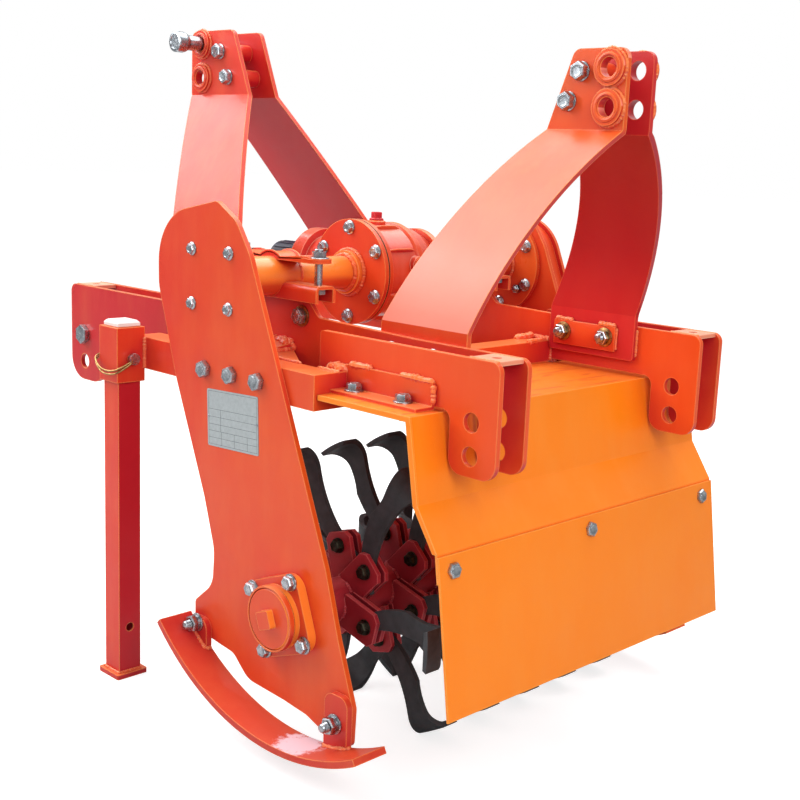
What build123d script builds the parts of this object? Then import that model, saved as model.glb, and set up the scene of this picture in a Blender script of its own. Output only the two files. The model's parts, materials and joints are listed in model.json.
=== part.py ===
from build123d import *
import os
from math import asin, atan2, cos, hypot, radians, sin

# Rotary tiller with hitches at both ends, millimetres.
# +X right, +Y travel direction, +Z up. The origin lies on the floor, midway between the ends
# of the beams and between the skids. The tiller stands on its lowest blades and on its stand.

os.makedirs("parts", exist_ok=True)

# Rotor
rotor_radius = 228.0          # over the blade tips
rows = 6                      # rows of blades round the rotor
blades_per_row = 5
row_pitch = 97.0              # between the blades of one row
rotor_tube_radius = 32.0
rotor_tube_end = 300.0
stub_radius = 20.0
rotor_y = -191.0
blade_reach = 44.0            # of the bent tip, from the face of the blade's shank
blade_bend_radius = 26.0      # inside the bend
tip_half_angle = 7.5          # half of the tip's length round the rotor
blade_thickness = 8.0
holder_reach = 96.0           # outer end of a blade holder from the rotor axis
holder_width = 52.0
holder_cheek = 7.0            # each side of the blade's shank
holder_lead = 14.0            # the holder stands this angle ahead of the blade's tip
row_angle = 180.0 / rows      # two rows of tips share the floor
rotor_z = rotor_radius * cos(radians(row_angle - tip_half_angle))

# Beams: a long inner plate and two short outer cheeks a side
beam_length = 1000.0
beam_height = 72.0
beam_rise = 325.5             # beam underside above the rotor axis
plate = 8.0
inner_plate_x = 196.0         # inner face of the long plate
clevis_gap = 46.0
cheek_length = 333.0
clevis_hole_radius = 13.0
clevis_hole_inset = 43.5      # hole centre from the beam's end
# Each clevis (-1 rear, 1 front): its width along the beam; its tip and its two holes below the
# beam underside; the radius of the tip's corners
clevises = {
    -1: dict(width=80.0, tip=81.0, upper=10.0, lower=54.0, corner=22.0),
    1: dict(width=110.0, tip=95.0, upper=14.0, lower=62.0, corner=40.0),
}
bridge_inset = 8.0            # plate over a clevis, from the beam's end
bridge_length = 50.0
bridge_thickness = 6.0
bridge_hole_radius = 7.0
saddle_rise = 27.5            # raised stretch of the long plate under the cross tube
saddle_half_length = 74.0
saddle_slope = 22.0           # run of the slope at each end of it
rear_rise = 5.0               # of the plate's top edge just behind that stretch
rear_rise_end = -300.0        # where the top edge is level again

# Cross tubes and gearbox, on one axis along X
tube_y = -5.0
tube_rise = 456.5
tube_radius = 26.0
sleeve_radius = 30.0
sleeve_end_x = 181.0
cover_x = 57.0                # outer face of each gearbox cover
cover_radius = 84.0
cover_thickness = 8.0
housing_radius = 75.0
neck_radius = 60.0
neck_reach = 145.0            # PTO neck face ahead of the tube axis
pto_shaft_radius = 17.5
pto_shaft_reach = 224.0
pto_cap_radius = 31.0
running_gap = 0.05
tube_flange_height = 130.0
tube_flange_thickness = 8.0
tube_collar = 11.0            # length of the collars against the gearbox
tube_collar_rise = 9.0        # of a collar over its tube

# Left side plate, and the drive case that closes the right side
side_plate_x = 322.0          # inner face
drive_case_width = 52.0
drive_case_lid = 6.0
lid_rim = 8.0                 # of the lid, standing out past the case
case_top_radius = 78.0
case_foot_radius = 84.0

# Bearing housing on the left side plate
bearing_flange = 112.0
bearing_flange_thickness = 14.0
bearing_radius = 46.0
bearing_length = 32.0
bearing_end_wall = 8.0
bearing_turn = 21.0           # of the flange about the rotor axis
bearing_plug = 26.0
bearing_plug_length = 10.0

# Side bars, arms and stand
bar_size = 45.0
bar_height = 50.0
bar_drop = 27.6               # bar underside below the beam underside
bar_front_y = 198.0
bar_rear_y = -229.0
arm_width = 44.0
front_arm_y = 121.0           # rear face of the front arm
middle_arm_y = -46.0          # rear face of the middle arm
middle_arm_rise = 11.5        # of its inner end above the side bar
gusset_reach = 102.0          # of the plate in the corner behind the middle arm
gusset_thickness = 5.0
socket_size = 50.0
socket_wall = 4.0
socket_height = 86.0
stand_size = 40.0
stand_wall = 3.0
stand_proud = 1.0             # stand top above the socket
stand_pin_radius = 6.0
stand_pin_hole = 7.0
stand_foot = 56.0
stand_foot_thickness = 8.0
seat_gap = 0.3

# Skids
skid_width = 58.0
skid_thickness = 10.0
skid_drop = 176.0             # skid sole below the rotor axis

# Hood and trailing board
sheet = 3.0
hood_half_width = 318.0
hood_front_half_width = 188.0
hood_front_y = 20.0
hood_rear_y = -405.0
hood_depth = 110.0            # steep rear panel
hood_kick = 55.0              # outward bend under it
board_depth = 211.0
board_lap = 42.0

# Masts: bent straps, feet on the inner faces of the long plates
mast_gap = 52.0               # between the top plates
mast_hole_radius = 12.9
collar_radius = 24.0
collar_thickness = 7.0
mast_bolt_radius = 8.0
spacer_radius = 15.0
foot_height = 70.0
foot_overlap = 53.0           # foot below the beam's top edge

# Derived levels
beam_bottom = rotor_z + beam_rise
beam_top = beam_bottom + beam_height
tube_z = rotor_z + tube_rise
half_beam = beam_length / 2
cheek_x = inner_plate_x + plate + clevis_gap      # inner face of the cheeks
beam_outer_x = cheek_x + plate
clevis_y = half_beam - clevis_hole_inset
saddle_z = beam_top + saddle_rise
bar_bottom = beam_bottom - bar_drop
bar_x = side_plate_x - bar_size                   # inner face of a side bar
hood_top = beam_bottom - 4.5
mast_face = mast_gap / 2
foot_bottom = beam_top - foot_overlap
foot_top = foot_bottom + foot_height


def outline(points):
    """A face from (u, v, corner radius) points, in the axes of the plane that it is put on."""
    face = make_face(Polyline(*[(u, v) for u, v, _ in points], close=True))
    for u, v, radius in points:
        if radius:
            face = fillet(face.vertices().sort_by_distance((u, v, 0))[0], radius)
    return face


def slab_x(face, x0, x1):
    """A (y, z) face made solid from x0 to x1."""
    return extrude(Plane.YZ.offset(x0) * face, x1 - x0)


def slab_y(face, y0, y1):
    """An (x, z) face made solid from y0 to y1."""
    return extrude(Plane.XZ.offset(-y1) * face, y1 - y0)


def slab_z(face, z0, z1):
    """An (x, y) face made solid from z0 to z1."""
    return extrude(Plane.XY.offset(z0) * face, z1 - z0)


def block(x0, x1, y0, y1, z0, z1):
    return Pos((x0 + x1) / 2, (y0 + y1) / 2, (z0 + z1) / 2) * Box(x1 - x0, y1 - y0, z1 - z0)


def rod_x(radius, x0, x1, y, z):
    return slab_x(Pos(y, z) * Circle(radius), x0, x1)


def rod_y(radius, y0, y1, x, z):
    return slab_y(Pos(x, z) * Circle(radius), y0, y1)


def rod_z(radius, z0, z1, x, y):
    return slab_z(Pos(x, y) * Circle(radius), z0, z1)


def right_side(part):
    return mirror(part, about=Plane.YZ)


def save(node, *parts):
    """Write one node, made of one or more solids."""
    solids = [solid for part in parts for solid in part.solids()]
    export_step(Compound(children=solids) if len(solids) > 1 else solids[0], f"parts/{node}.step")


# Beams -------------------------------------------------------------------------------------

def clevis_points(end):
    """The hanging clevis at one end of a plate, from the beam's end to its inner edge."""
    spec = clevises[end]
    outer = end * half_beam
    inner = end * (half_beam - spec["width"])
    tip = beam_bottom - spec["tip"]
    corner = spec["corner"]
    return [(outer, beam_top, 14), (outer, tip, corner), (inner, tip, corner), (inner, beam_bottom, 14)]


def clevis_holes(x0, x1, end):
    upper, lower = [rod_x(clevis_hole_radius, x0, x1, end * clevis_y, beam_bottom - clevises[end][level])
                    for level in ("upper", "lower")]
    return upper + lower


def long_plate():
    """The inner plate of the left beam, raised where the cross tube sits."""
    saddle = [
        (tube_y + saddle_half_length + saddle_slope, beam_top, 14),
        (tube_y + saddle_half_length, saddle_z, 14),
        (tube_y - saddle_half_length, saddle_z, 14),
        (tube_y - saddle_half_length - saddle_slope, beam_top + rear_rise, 14),
        (rear_rise_end, beam_top, 0),
    ]
    x0 = -inner_plate_x - plate
    face = outline(clevis_points(-1) + clevis_points(1)[::-1] + saddle)
    part = slab_x(face, x0, x0 + plate)
    return part - clevis_holes(x0, x0 + plate, -1) - clevis_holes(x0, x0 + plate, 1)


def cheek(end):
    """The outer plate of the left beam at one end: -1 rear, 1 front."""
    inner_end = end * (half_beam - cheek_length)
    points = clevis_points(end) + [(inner_end, beam_bottom, 6), (inner_end, beam_top, 6)]
    part = slab_x(outline(points), -cheek_x - plate, -cheek_x)
    return part - clevis_holes(-cheek_x - plate, -cheek_x, end)


def clevis_bridge(end):
    """The small plate that closes the top of a clevis, with its hole."""
    outer = end * (half_beam - bridge_inset)
    y0, y1 = sorted((outer, outer - end * bridge_length))
    z0 = beam_top - bridge_thickness
    x0, x1 = -cheek_x, -inner_plate_x - plate
    part = block(x0, x1, y0, y1, z0, beam_top)
    return part - rod_z(bridge_hole_radius, z0, beam_top, (x0 + x1) / 2, (y0 + y1) / 2)


def hitch_pin():
    """The pin left in the front clevis: six-sided head, shank and collar."""
    head_radius, head_length = 17, 9
    collar_length = 16
    z = beam_bottom - clevises[1]["upper"]
    head_face = Pos(clevis_y, z) * RegularPolygon(head_radius, 6, rotation=30)
    head = slab_x(head_face, -beam_outer_x - head_length, -beam_outer_x)
    shank = rod_x(clevis_hole_radius, -beam_outer_x, -inner_plate_x, clevis_y, z)
    collar = rod_x(head_radius, -inner_plate_x, -inner_plate_x + collar_length, clevis_y, z)
    return head + shank + collar


save("beam_left_long_plate", long_plate())
save("beam_right_long_plate", right_side(long_plate()))
for name, end in (("rear", -1), ("front", 1)):
    save(f"beam_cheeks_{name}", cheek(end), right_side(cheek(end)))
bridges = [clevis_bridge(-1), clevis_bridge(1)]
save("clevis_bridges", *bridges, *[right_side(part) for part in bridges])
save("hitch_pins", hitch_pin(), right_side(hitch_pin()))

# Cross members between the long plates: rectangular tubes
cross_width = 40.0
cross_height = 35.0
cross_wall = 4.0
cross_rear_y = -203.0         # the rear one lies on the hood
cross_front_y = 413.0


def cross_member(y):
    tube = Rectangle(cross_width, cross_height)
    tube -= Rectangle(cross_width - 2 * cross_wall, cross_height - 2 * cross_wall)
    return slab_x(Pos(y, hood_top + cross_height / 2) * tube, -inner_plate_x, inner_plate_x)


save("cross_member_rear", cross_member(cross_rear_y))
save("cross_member_front", cross_member(cross_front_y))

# Saddles and straps that hold the cross tube on the long plates

saddle_width = 38.0
saddle_sheet = 5.0
saddle_height = 25.0
saddle_reach = 106.0          # of the saddle and strap, each way from the tube axis
saddle_top = saddle_z + saddle_height
cradle_half_length = 48.0
clamp_bolt_pitch = 178.0
clamp_bolt_radius = 6.0
clamp_strap_width = 40.0
clamp_strap_sheet = 7.0
clamp_gap = 36.0              # from the saddle up to the middle of the strap's ends
strap_end_z = saddle_top + clamp_gap

# Masts -------------------------------------------------------------------------------------

# Each mast: its end of the machine (-1 rear, 1 front); heights above the beam top of the bend,
# the top edge, the holes and the bolts; sag of the strap's curve; (outer, inner) distance of the
# strap's edges from the middle of the beams at the foot, at the bend and at the top.
masts = {
    "rear": dict(end=-1, bend=286, top=394, sag=33, foot=(388, 225), at_bend=(497, 370),
                 at_top=(497, 411), holes=((472, 368.5), (472, 317.5)), bolts=((424, 364.5), (405, 325.5))),
    "front": dict(end=1, bend=336, top=448, sag=6, foot=(295, 104), at_bend=(455, 289),
                  at_top=(455, 336), holes=((422, 425), (422, 367)), bolts=((371, 411.5), (348, 367.5))),
}


def strap_section(spec):
    """The strap seen along Y: upright foot, curved rise, upright top plate."""
    foot_x = -inner_plate_x + plate / 2
    top_x = -mast_face - plate / 2
    bend_z = beam_top + spec["bend"]
    run, rise = top_x - foot_x, bend_z - foot_top
    sag = spec["sag"] / hypot(run, rise)
    middle = ((foot_x + top_x) / 2 - sag * rise, (foot_top + bend_z) / 2 + sag * run)
    path = Line((foot_x, foot_bottom), (foot_x, foot_top))
    path += ThreePointArc((foot_x, foot_top), middle, (top_x, bend_z))
    path += Line((top_x, bend_z), (top_x, beam_top + spec["top"]))
    return trace(path, line_width=plate)


def strap_outline(spec):
    """The strap seen along X."""
    end = spec["end"]
    levels = ((foot_bottom, "foot", 6), (foot_top, "foot", 30), (beam_top + spec["bend"], "at_bend", 30),
              (beam_top + spec["top"], "at_top", 14))
    outer = [(end * spec[key][0], z, radius) for z, key, radius in levels]
    inner = [(end * spec[key][1], z, radius) for z, key, radius in levels]
    return outline(outer + inner[::-1])


def mast_strap(spec):
    """The left strap of one mast, with its two welded collars."""
    band = slab_y(strap_section(spec), -half_beam, half_beam)
    part = band & slab_x(strap_outline(spec), -beam_outer_x, 0)
    outer_face = -mast_face - plate
    for y, z in spec["holes"]:
        y, z = spec["end"] * y, beam_top + z
        part += rod_x(collar_radius, outer_face - collar_thickness, outer_face, y, z)
        part -= rod_x(mast_hole_radius, outer_face - collar_thickness, -mast_face, y, z)
    for y, z in spec["bolts"]:
        part -= rod_x(mast_bolt_radius, outer_face, -mast_face, spec["end"] * y, beam_top + z)
    return part


def mast_spacers(spec):
    """The spacer tubes between the top plates, each on its bolt's shank."""
    parts = []
    for y, z in spec["bolts"]:
        y, z = spec["end"] * y, beam_top + z
        spacer = rod_x(spacer_radius, -mast_face, mast_face, y, z)
        parts.append(spacer + rod_x(mast_bolt_radius, -mast_face - plate, mast_face + plate, y, z))
    return parts


def top_link_pin():
    """The pin kept in the front mast's upper holes, standing out on the left."""
    y, z = masts["front"]["holes"][0]
    collar_face = mast_face + plate + collar_thickness
    left, right = -collar_face - 38, collar_face + 12
    head_radius, head_length = mast_hole_radius + 5, 14
    shank = rod_x(mast_hole_radius, left, right, y, beam_top + z)
    return shank + rod_x(head_radius, left - head_length, left, y, beam_top + z)


for name, spec in masts.items():
    save(f"mast_{name}_left_strap", mast_strap(spec))
    save(f"mast_{name}_right_strap", right_side(mast_strap(spec)))
    save(f"mast_{name}_spacers", *mast_spacers(spec))
save("top_link_pin", top_link_pin())

# Gearbox and cross tubes -------------------------------------------------------------------

housing_end_x = 88.0          # right end of the tapered housing
housing_end_radius = 58.0
housing_wall = 9.0
neck_rim = 26.0               # length of the rim round the PTO neck's face
neck_seat = 40.0              # solid length of the neck that carries the PTO shaft
shaft_inner_y = 90.0          # inner end of the PTO shaft, ahead of the tube axis
tube_bore = 18.0
filler_boss = 10.0            # radius of the boss on top of the gearbox


def gearbox_housing():
    """Barrel drawn in at its right end, PTO neck ahead, plug bosses on top and behind."""
    x0 = -cover_x + cover_thickness
    r1, r2, r3 = housing_radius, housing_radius - 6, housing_end_radius
    outer = [(x0, 0), (x0, r1), (24, r1), (64, r2), (housing_end_x, r3), (housing_end_x, 0)]
    wall = housing_wall
    x1 = housing_end_x - wall
    inner = [(x0, 0), (x0, r1 - wall), (24, r1 - wall), (x1, r3 - wall), (x1, 0)]
    here = Pos(0, tube_y, tube_z)
    part = here * revolve(make_face(Polyline(*outer, close=True)), Axis.X)
    face_y = tube_y + neck_reach
    part += rod_y(-x0 - 1, tube_y, face_y, 0, tube_z)
    part += rod_y(neck_radius, face_y - neck_rim, face_y, 0, tube_z)
    part += rod_z(filler_boss, tube_z + r1 - wall, tube_z + r1 + 5, 0, tube_y)
    part += rod_y(15, tube_y - r1 - 6, tube_y - r1 + wall, 22, tube_z + 14)
    part -= here * revolve(make_face(Polyline(*inner, close=True)), Axis.X)
    part -= rod_y(neck_radius - 20, tube_y, face_y - neck_seat, 0, tube_z)
    return part - rod_y(pto_shaft_radius + running_gap, tube_y, face_y, 0, tube_z)


def gearbox_cover():
    return rod_x(cover_radius, -cover_x, -cover_x + cover_thickness, tube_y, tube_z)


def left_tube():
    """Cross tube from the gearbox cover to the left side plate, with sleeve, collar and flange."""
    x0 = -side_plate_x
    x1 = -cover_x
    flange = Pos(tube_y, tube_z) * RectangleRounded(tube_flange_height, tube_flange_height, 12)
    part = slab_x(flange, x0, x0 + tube_flange_thickness)
    part += rod_x(sleeve_radius, x0, -sleeve_end_x, tube_y, tube_z)
    part += rod_x(tube_radius, x0, x1, tube_y, tube_z)
    part += rod_x(tube_radius + tube_collar_rise, x1 - tube_collar, x1, tube_y, tube_z)
    return part - rod_x(tube_bore, x0, x1, tube_y, tube_z)


def right_tube():
    """Cross tube from the gearbox housing to the drive side, with its round bolting flange."""
    x0 = housing_end_x
    x1 = side_plate_x
    part = rod_x(sleeve_radius, x0, x1, tube_y, tube_z)
    part += rod_x(housing_end_radius + tube_collar_rise, x0, x0 + tube_collar, tube_y, tube_z)
    part += rod_x(cover_radius, x1 - tube_flange_thickness, x1, tube_y, tube_z)
    return part - rod_x(tube_bore, x0, x1, tube_y, tube_z)


def tube_saddle():
    """The channel across the raised beam, open below, with the cradle that the tube lies in."""
    x = -inner_plate_x - plate / 2
    half = saddle_width / 2
    y0, y1 = tube_y - saddle_reach, tube_y + saddle_reach
    low, high, bend = saddle_z, saddle_top, 9
    x0, x1 = x - half, x + half
    section = outline([(x0, low, 0), (x0, high, bend), (x1, high, bend), (x1, low, 0)])
    inside = half - saddle_sheet
    channel = block(x - inside, x + inside, y0, y1, low, high - saddle_sheet)
    cradle_ends = (tube_y - cradle_half_length, tube_y + cradle_half_length)
    cradle = block(x - inside, x + inside, *cradle_ends, low, high - saddle_sheet)
    part = slab_y(section, y0, y1) - channel + cradle
    part -= rod_x(sleeve_radius, x - half, x + half, tube_y, tube_z)
    for y in (-clamp_bolt_pitch / 2, clamp_bolt_pitch / 2):
        part -= rod_z(clamp_bolt_radius, saddle_top - saddle_sheet, saddle_top, x, tube_y + y)
    return part


def clamp_strap():
    """The pressed strap over the tube: flat rounded ends, sloping shoulders, arch round the tube."""
    x = -inner_plate_x - plate / 2
    half = clamp_strap_sheet / 2
    r = sleeve_radius + half
    shoulder = radians(52)
    flat_end = 72.0               # of the strap's flat ends, from the tube axis
    up = (tube_y + r * cos(shoulder), tube_z + r * sin(shoulder))
    down = (tube_y - r * cos(shoulder), up[1])
    path = Polyline((tube_y + saddle_reach, strap_end_z), (tube_y + flat_end, strap_end_z), up)
    path += ThreePointArc(up, (tube_y, tube_z + r), down)
    path += Polyline(down, (tube_y - flat_end, strap_end_z), (tube_y - saddle_reach, strap_end_z))
    width = clamp_strap_width
    part = slab_x(trace(path, line_width=clamp_strap_sheet), x - width / 2, x + width / 2)
    plan = Pos(x, tube_y) * RectangleRounded(width, 2 * saddle_reach, width / 2 - 1)
    part &= slab_z(plan, strap_end_z - half, tube_z + r + half)
    part -= rod_x(sleeve_radius, x - width / 2, x + width / 2, tube_y, tube_z)
    for y in (-clamp_bolt_pitch / 2, clamp_bolt_pitch / 2):
        part -= rod_z(clamp_bolt_radius, strap_end_z - half, strap_end_z + half, x, tube_y + y)
    return part


def clamp_bolts():
    x = -inner_plate_x - plate / 2
    under = saddle_top - saddle_sheet
    over = strap_end_z + clamp_strap_sheet / 2
    parts = []
    for offset in (-clamp_bolt_pitch / 2, clamp_bolt_pitch / 2):
        y = tube_y + offset
        head = slab_z(Pos(x, y) * RegularPolygon(11, 6), under - 8, under)
        nut = slab_z(Pos(x, y) * RegularPolygon(11, 6), over, over + 10)
        parts.append(head + rod_z(clamp_bolt_radius, under, over, x, y) + nut)
    return parts


def pto_shaft():
    return rod_y(pto_shaft_radius, tube_y + shaft_inner_y, tube_y + pto_shaft_reach, 0, tube_z)


def pto_cap():
    """The pull-off cap over the shaft's end, clear of the neck's face."""
    y0 = tube_y + neck_reach + 15
    y1 = tube_y + pto_shaft_reach + 16
    cap = rod_y(pto_cap_radius, y0, y1, 0, tube_z)
    cap = chamfer(cap.edges().group_by(Axis.Y)[-1], 5)
    return cap - rod_y(pto_shaft_radius, y0, tube_y + pto_shaft_reach, 0, tube_z)


save("gearbox_housing", gearbox_housing())
save("gearbox_cover", gearbox_cover())
save("cross_tube_left", left_tube())
save("cross_tube_right", right_tube())
save("tube_saddles", tube_saddle(), right_side(tube_saddle()))
save("clamp_straps", clamp_strap(), right_side(clamp_strap()))
save("clamp_bolts", *clamp_bolts(), *[right_side(part) for part in clamp_bolts()])
save("pto_shaft", pto_shaft())
save("pto_cap", pto_cap())

# Side plates, bearing and drive case -------------------------------------------------------

stub_clearance = 4.0          # round the rotor's stubs, in the side plates
case_wall = 8.0
case_boss_radius = 46.0
case_boss_length = 30.0

def side_plate(bore):
    """The left side plate: head at the cross tube, long curved neck, broad foot over the skid."""
    edge = [
        (-19, 569, 16), (126, 540, 84), (124, 436, 60), (78, 300, 260), (4, 130, 160), (-22, 52, 60),
        (-19, -4, 40), (24, -40, 10), (24, -84, 14), (-34, -92, 24), (-72, -96, 24), (-108, -126, 40),
        (-190, -130, 60), (-240, -135, 40), (-290, -152, 20), (-332, -152, 10), (-334, -94, 20),
        (-300, -4, 80), (-272, 85, 80), (-96, 497, 60), (-64, 543, 40),
    ]
    face = outline([(y, rotor_z + z, radius) for y, z, radius in edge])
    x0 = -side_plate_x - plate
    return slab_x(face, x0, x0 + plate) - rod_x(bore, x0, x0 + plate, rotor_y, rotor_z)


def bearing_housing():
    """Four-bolt flange and capped round housing, with a square plug, outside the left side plate."""
    x1 = -side_plate_x - plate
    x0 = x1 - bearing_length
    turned = Pos(rotor_y, rotor_z) * Rot(0, 0, -bearing_turn)
    flange = turned * RectangleRounded(bearing_flange, bearing_flange, 26)
    part = slab_x(flange, x1 - bearing_flange_thickness, x1)
    barrel = rod_x(bearing_radius, x0, x1, rotor_y, rotor_z)
    part += chamfer(barrel.edges().group_by(Axis.X)[0], 4)
    part += slab_x(turned * RectangleRounded(bearing_plug, bearing_plug, 3), x0 - bearing_plug_length, x0)
    return part - rod_x(stub_radius + running_gap, x0 + bearing_end_wall, x1, rotor_y, rotor_z)


def case_outline(margin):
    """The drive case seen along X: round ends at the cross tube and at the rotor."""
    top, foot = case_top_radius + margin, case_foot_radius + margin
    dy, dz = rotor_y - tube_y, rotor_z - tube_z
    length = hypot(dy, dz)
    lean = asin((foot - top) / length)
    along = atan2(dz, dy)
    points = []
    for side in (-1, 1):
        normal = along + side * (radians(90) + lean)
        points.append([(y + r * cos(normal), z + r * sin(normal))
                       for y, z, r in ((tube_y, tube_z, top), (rotor_y, rotor_z, foot))])
    belt = make_face(Polyline(*points[0], *points[1][::-1], close=True))
    return belt + Pos(tube_y, tube_z) * Circle(top) + Pos(rotor_y, rotor_z) * Circle(foot)


def drive_case():
    """Open pan: inner wall, rim, and a bearing boss for each shaft."""
    x0 = side_plate_x + plate
    x1 = x0 + drive_case_width - drive_case_lid
    part = slab_x(case_outline(0), x0, x1) - slab_x(case_outline(-case_wall), x0 + case_wall, x1)
    part += rod_x(case_boss_radius, x0, x0 + case_boss_length, rotor_y, rotor_z)
    part += rod_x(case_boss_radius, x0, x0 + case_boss_length, tube_y, tube_z)
    return part - rod_x(stub_radius + running_gap, x0, x0 + case_boss_length, rotor_y, rotor_z)


def drive_case_cover():
    """Flat lid with a rim standing out past the pan."""
    x0 = side_plate_x + plate + drive_case_width - drive_case_lid
    return slab_x(case_outline(lid_rim), x0, x0 + drive_case_lid)


save("side_plate_left", side_plate(stub_radius + stub_clearance))
save("side_plate_right", right_side(side_plate(stub_radius + stub_clearance)))
save("bearing_housing", bearing_housing())
save("drive_case", drive_case())
save("drive_case_cover", drive_case_cover())

# Skids -------------------------------------------------------------------------------------

skid_radius = 380.0
skid_low_y = rotor_y - 32.0   # lowest point of the sole
skid_front_angle = 44.2
skid_rear_angle = 28.1
lug_thickness = 10.0
lug_sink = 30.0               # of a lug below its stated foot, trimmed to the curve of the sole
# The two lugs: (rear edge, front edge) in y, foot below the rotor axis, height
skid_lugs = (((-18, 26), 122, 62), ((-334, -288), 138, 60))


def arc_band(center, outer, inner, start, finish):
    """A curved flat bar in (y, z); angles are from straight down, positive towards +y."""
    def at(radius, angle):
        return (center[0] + radius * sin(radians(angle)), center[1] - radius * cos(radians(angle)))
    middle = (start + finish) / 2
    return make_face(
        ThreePointArc(at(outer, start), at(outer, middle), at(outer, finish))
        + Line(at(outer, finish), at(inner, finish))
        + ThreePointArc(at(inner, finish), at(inner, middle), at(inner, start))
        + Line(at(inner, start), at(outer, start))
    )


def skid():
    """The left skid: a curved bar with its two bolting lugs."""
    x1 = -side_plate_x - plate
    center = (skid_low_y, rotor_z - skid_drop + skid_radius)
    inner_radius = skid_radius - skid_thickness
    band = arc_band(center, skid_radius, inner_radius, -skid_rear_angle, skid_front_angle)
    part = slab_x(band, x1 - skid_width, x1)
    for (y0, y1), depth, height in skid_lugs:
        low, high = rotor_z - depth - lug_sink, rotor_z - depth + height
        face = outline([(y0, low, 0), (y1, low, 0), (y1, high, 16), (y0, high, 16)])
        part += slab_x(face & Pos(*center) * Circle(skid_radius), x1 - lug_thickness, x1)
    return part


save("skid_left", skid())
save("skid_right", right_side(skid()))

# Side bars, socket and stand ---------------------------------------------------------------

socket_x0 = -side_plate_x - socket_size
socket_overlap = 24.0         # of the socket's side with the side bar's open end
socket_y0 = bar_front_y - socket_overlap
socket_drop = 19.7            # socket's lower end below the side bar
socket_z0 = bar_bottom - socket_drop
socket_x = socket_x0 + socket_size / 2
socket_y = socket_y0 + socket_size / 2
stand_pin_height = 37.5       # above the socket's lower end
stand_pin_z = socket_z0 + stand_pin_height
stand_top = socket_z0 + socket_height + stand_proud
lower_hole_height = 83.0
stand_cap_thickness = 9.0
stand_cap_plug = 14.0
bar_wall = 4.0


def square_arm(x1, y0):
    """A square-cut tube from the side bar to the beam's face at x1."""
    y1 = y0 + arm_width
    top = bar_bottom + bar_height
    inside = block(-bar_x, x1, y0 + bar_wall, y1 - bar_wall, bar_bottom + bar_wall, top - bar_wall)
    return block(-bar_x, x1, y0, y1, bar_bottom, top) - inside


def side_bar():
    """The left side bar, open at its front end, its three arms to the beam, and a gusset."""
    top = bar_bottom + bar_height
    part = block(-side_plate_x, -bar_x, bar_rear_y, bar_front_y, bar_bottom, top)
    part -= block(-side_plate_x + bar_wall, -bar_x - bar_wall, bar_rear_y + bar_wall, bar_front_y,
                  bar_bottom + bar_wall, top - bar_wall)
    plate_face = -inner_plate_x - plate
    part += square_arm(-beam_outer_x, bar_rear_y) + square_arm(plate_face, front_arm_y)
    low = bar_bottom
    sloping = [(-bar_x, low), (plate_face, low), (plate_face, top + middle_arm_rise), (-bar_x, top)]
    part += slab_y(make_face(Polyline(*sloping, close=True)), middle_arm_y, middle_arm_y + arm_width)
    corner = [(-bar_x, middle_arm_y), (plate_face, middle_arm_y), (-bar_x, middle_arm_y - gusset_reach)]
    gusset = slab_z(make_face(Polyline(*corner, close=True)), top - gusset_thickness, top)
    return part + gusset


def square_tube(size, wall, x, y, z0, z1):
    section = Rectangle(size, size) - Rectangle(size - 2 * wall, size - 2 * wall)
    return slab_z(Pos(x, y) * section, z0, z1)


def stand_socket():
    part = square_tube(socket_size, socket_wall, socket_x, socket_y, socket_z0, socket_z0 + socket_height)
    return part - rod_y(stand_pin_radius, socket_y0, socket_y0 + socket_wall, socket_x, stand_pin_z)


def stand_pin():
    """The snapper pin, seated in the socket's wall and ending just short of the stand."""
    head_y = socket_y0 - 6
    stand_face_y = socket_y - stand_size / 2
    shank = rod_y(stand_pin_radius, head_y, stand_face_y - seat_gap, socket_x, stand_pin_z)
    return shank + rod_y(stand_pin_radius + 3, head_y - 6, head_y, socket_x, stand_pin_z)


def stand():
    """The parking stand: square tube, foot plate, and the two holes for the pin."""
    tube = square_tube(stand_size, stand_wall, socket_x, socket_y, stand_foot_thickness, stand_top)
    for z in (lower_hole_height, stand_pin_z):
        tube -= rod_y(stand_pin_hole, socket_y - stand_size, socket_y + stand_size, socket_x, z)
    foot = RectangleRounded(stand_foot, stand_foot, 3)
    return tube + slab_z(Pos(socket_x, socket_y) * foot, 0, stand_foot_thickness)


def stand_cap():
    """The moulded cap on the stand's upper end, with its plug inside the tube."""
    plug = stand_size - 2 * stand_wall
    here = Pos(socket_x, socket_y)
    cap = slab_z(here * Rectangle(stand_size, stand_size), stand_top, stand_top + stand_cap_thickness)
    cap = chamfer(cap.edges().group_by(Axis.Z)[-1], 4)
    return cap + slab_z(here * Rectangle(plug, plug), stand_top - stand_cap_plug, stand_top)


save("side_bars", side_bar(), right_side(side_bar()))
save("stand_socket", stand_socket())
save("stand_pin", stand_pin())
save("stand", stand())
save("stand_cap", stand_cap())

# Hood and trailing board -------------------------------------------------------------------

angle_leg = 35.0
angle_height = 37.0
angle_thickness = 5.0
angle_rear_y = -392.0
angle_front_y = bar_rear_y
kick_y = 37.0                 # rearward reach of the outward bend
panel_lean = 20.0             # rearward lean of the steep panel
board_lean = 30.0
lip_length = 38.0
shoulder_gap = 3.0            # between the wide rear of the hood and the side bars
board_start = 3.0             # top edge of the board below the start of the lip

hood_z = hood_top - sheet / 2
panel_foot = (hood_rear_y - panel_lean, hood_z - hood_depth)
kick_foot = (panel_foot[0] - kick_y, panel_foot[1] - hood_kick)
board_length = hypot(board_lean, board_depth)
board_down = (-board_lean / board_length, -board_depth / board_length)
board_out = (board_down[1], -board_down[0])


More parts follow.
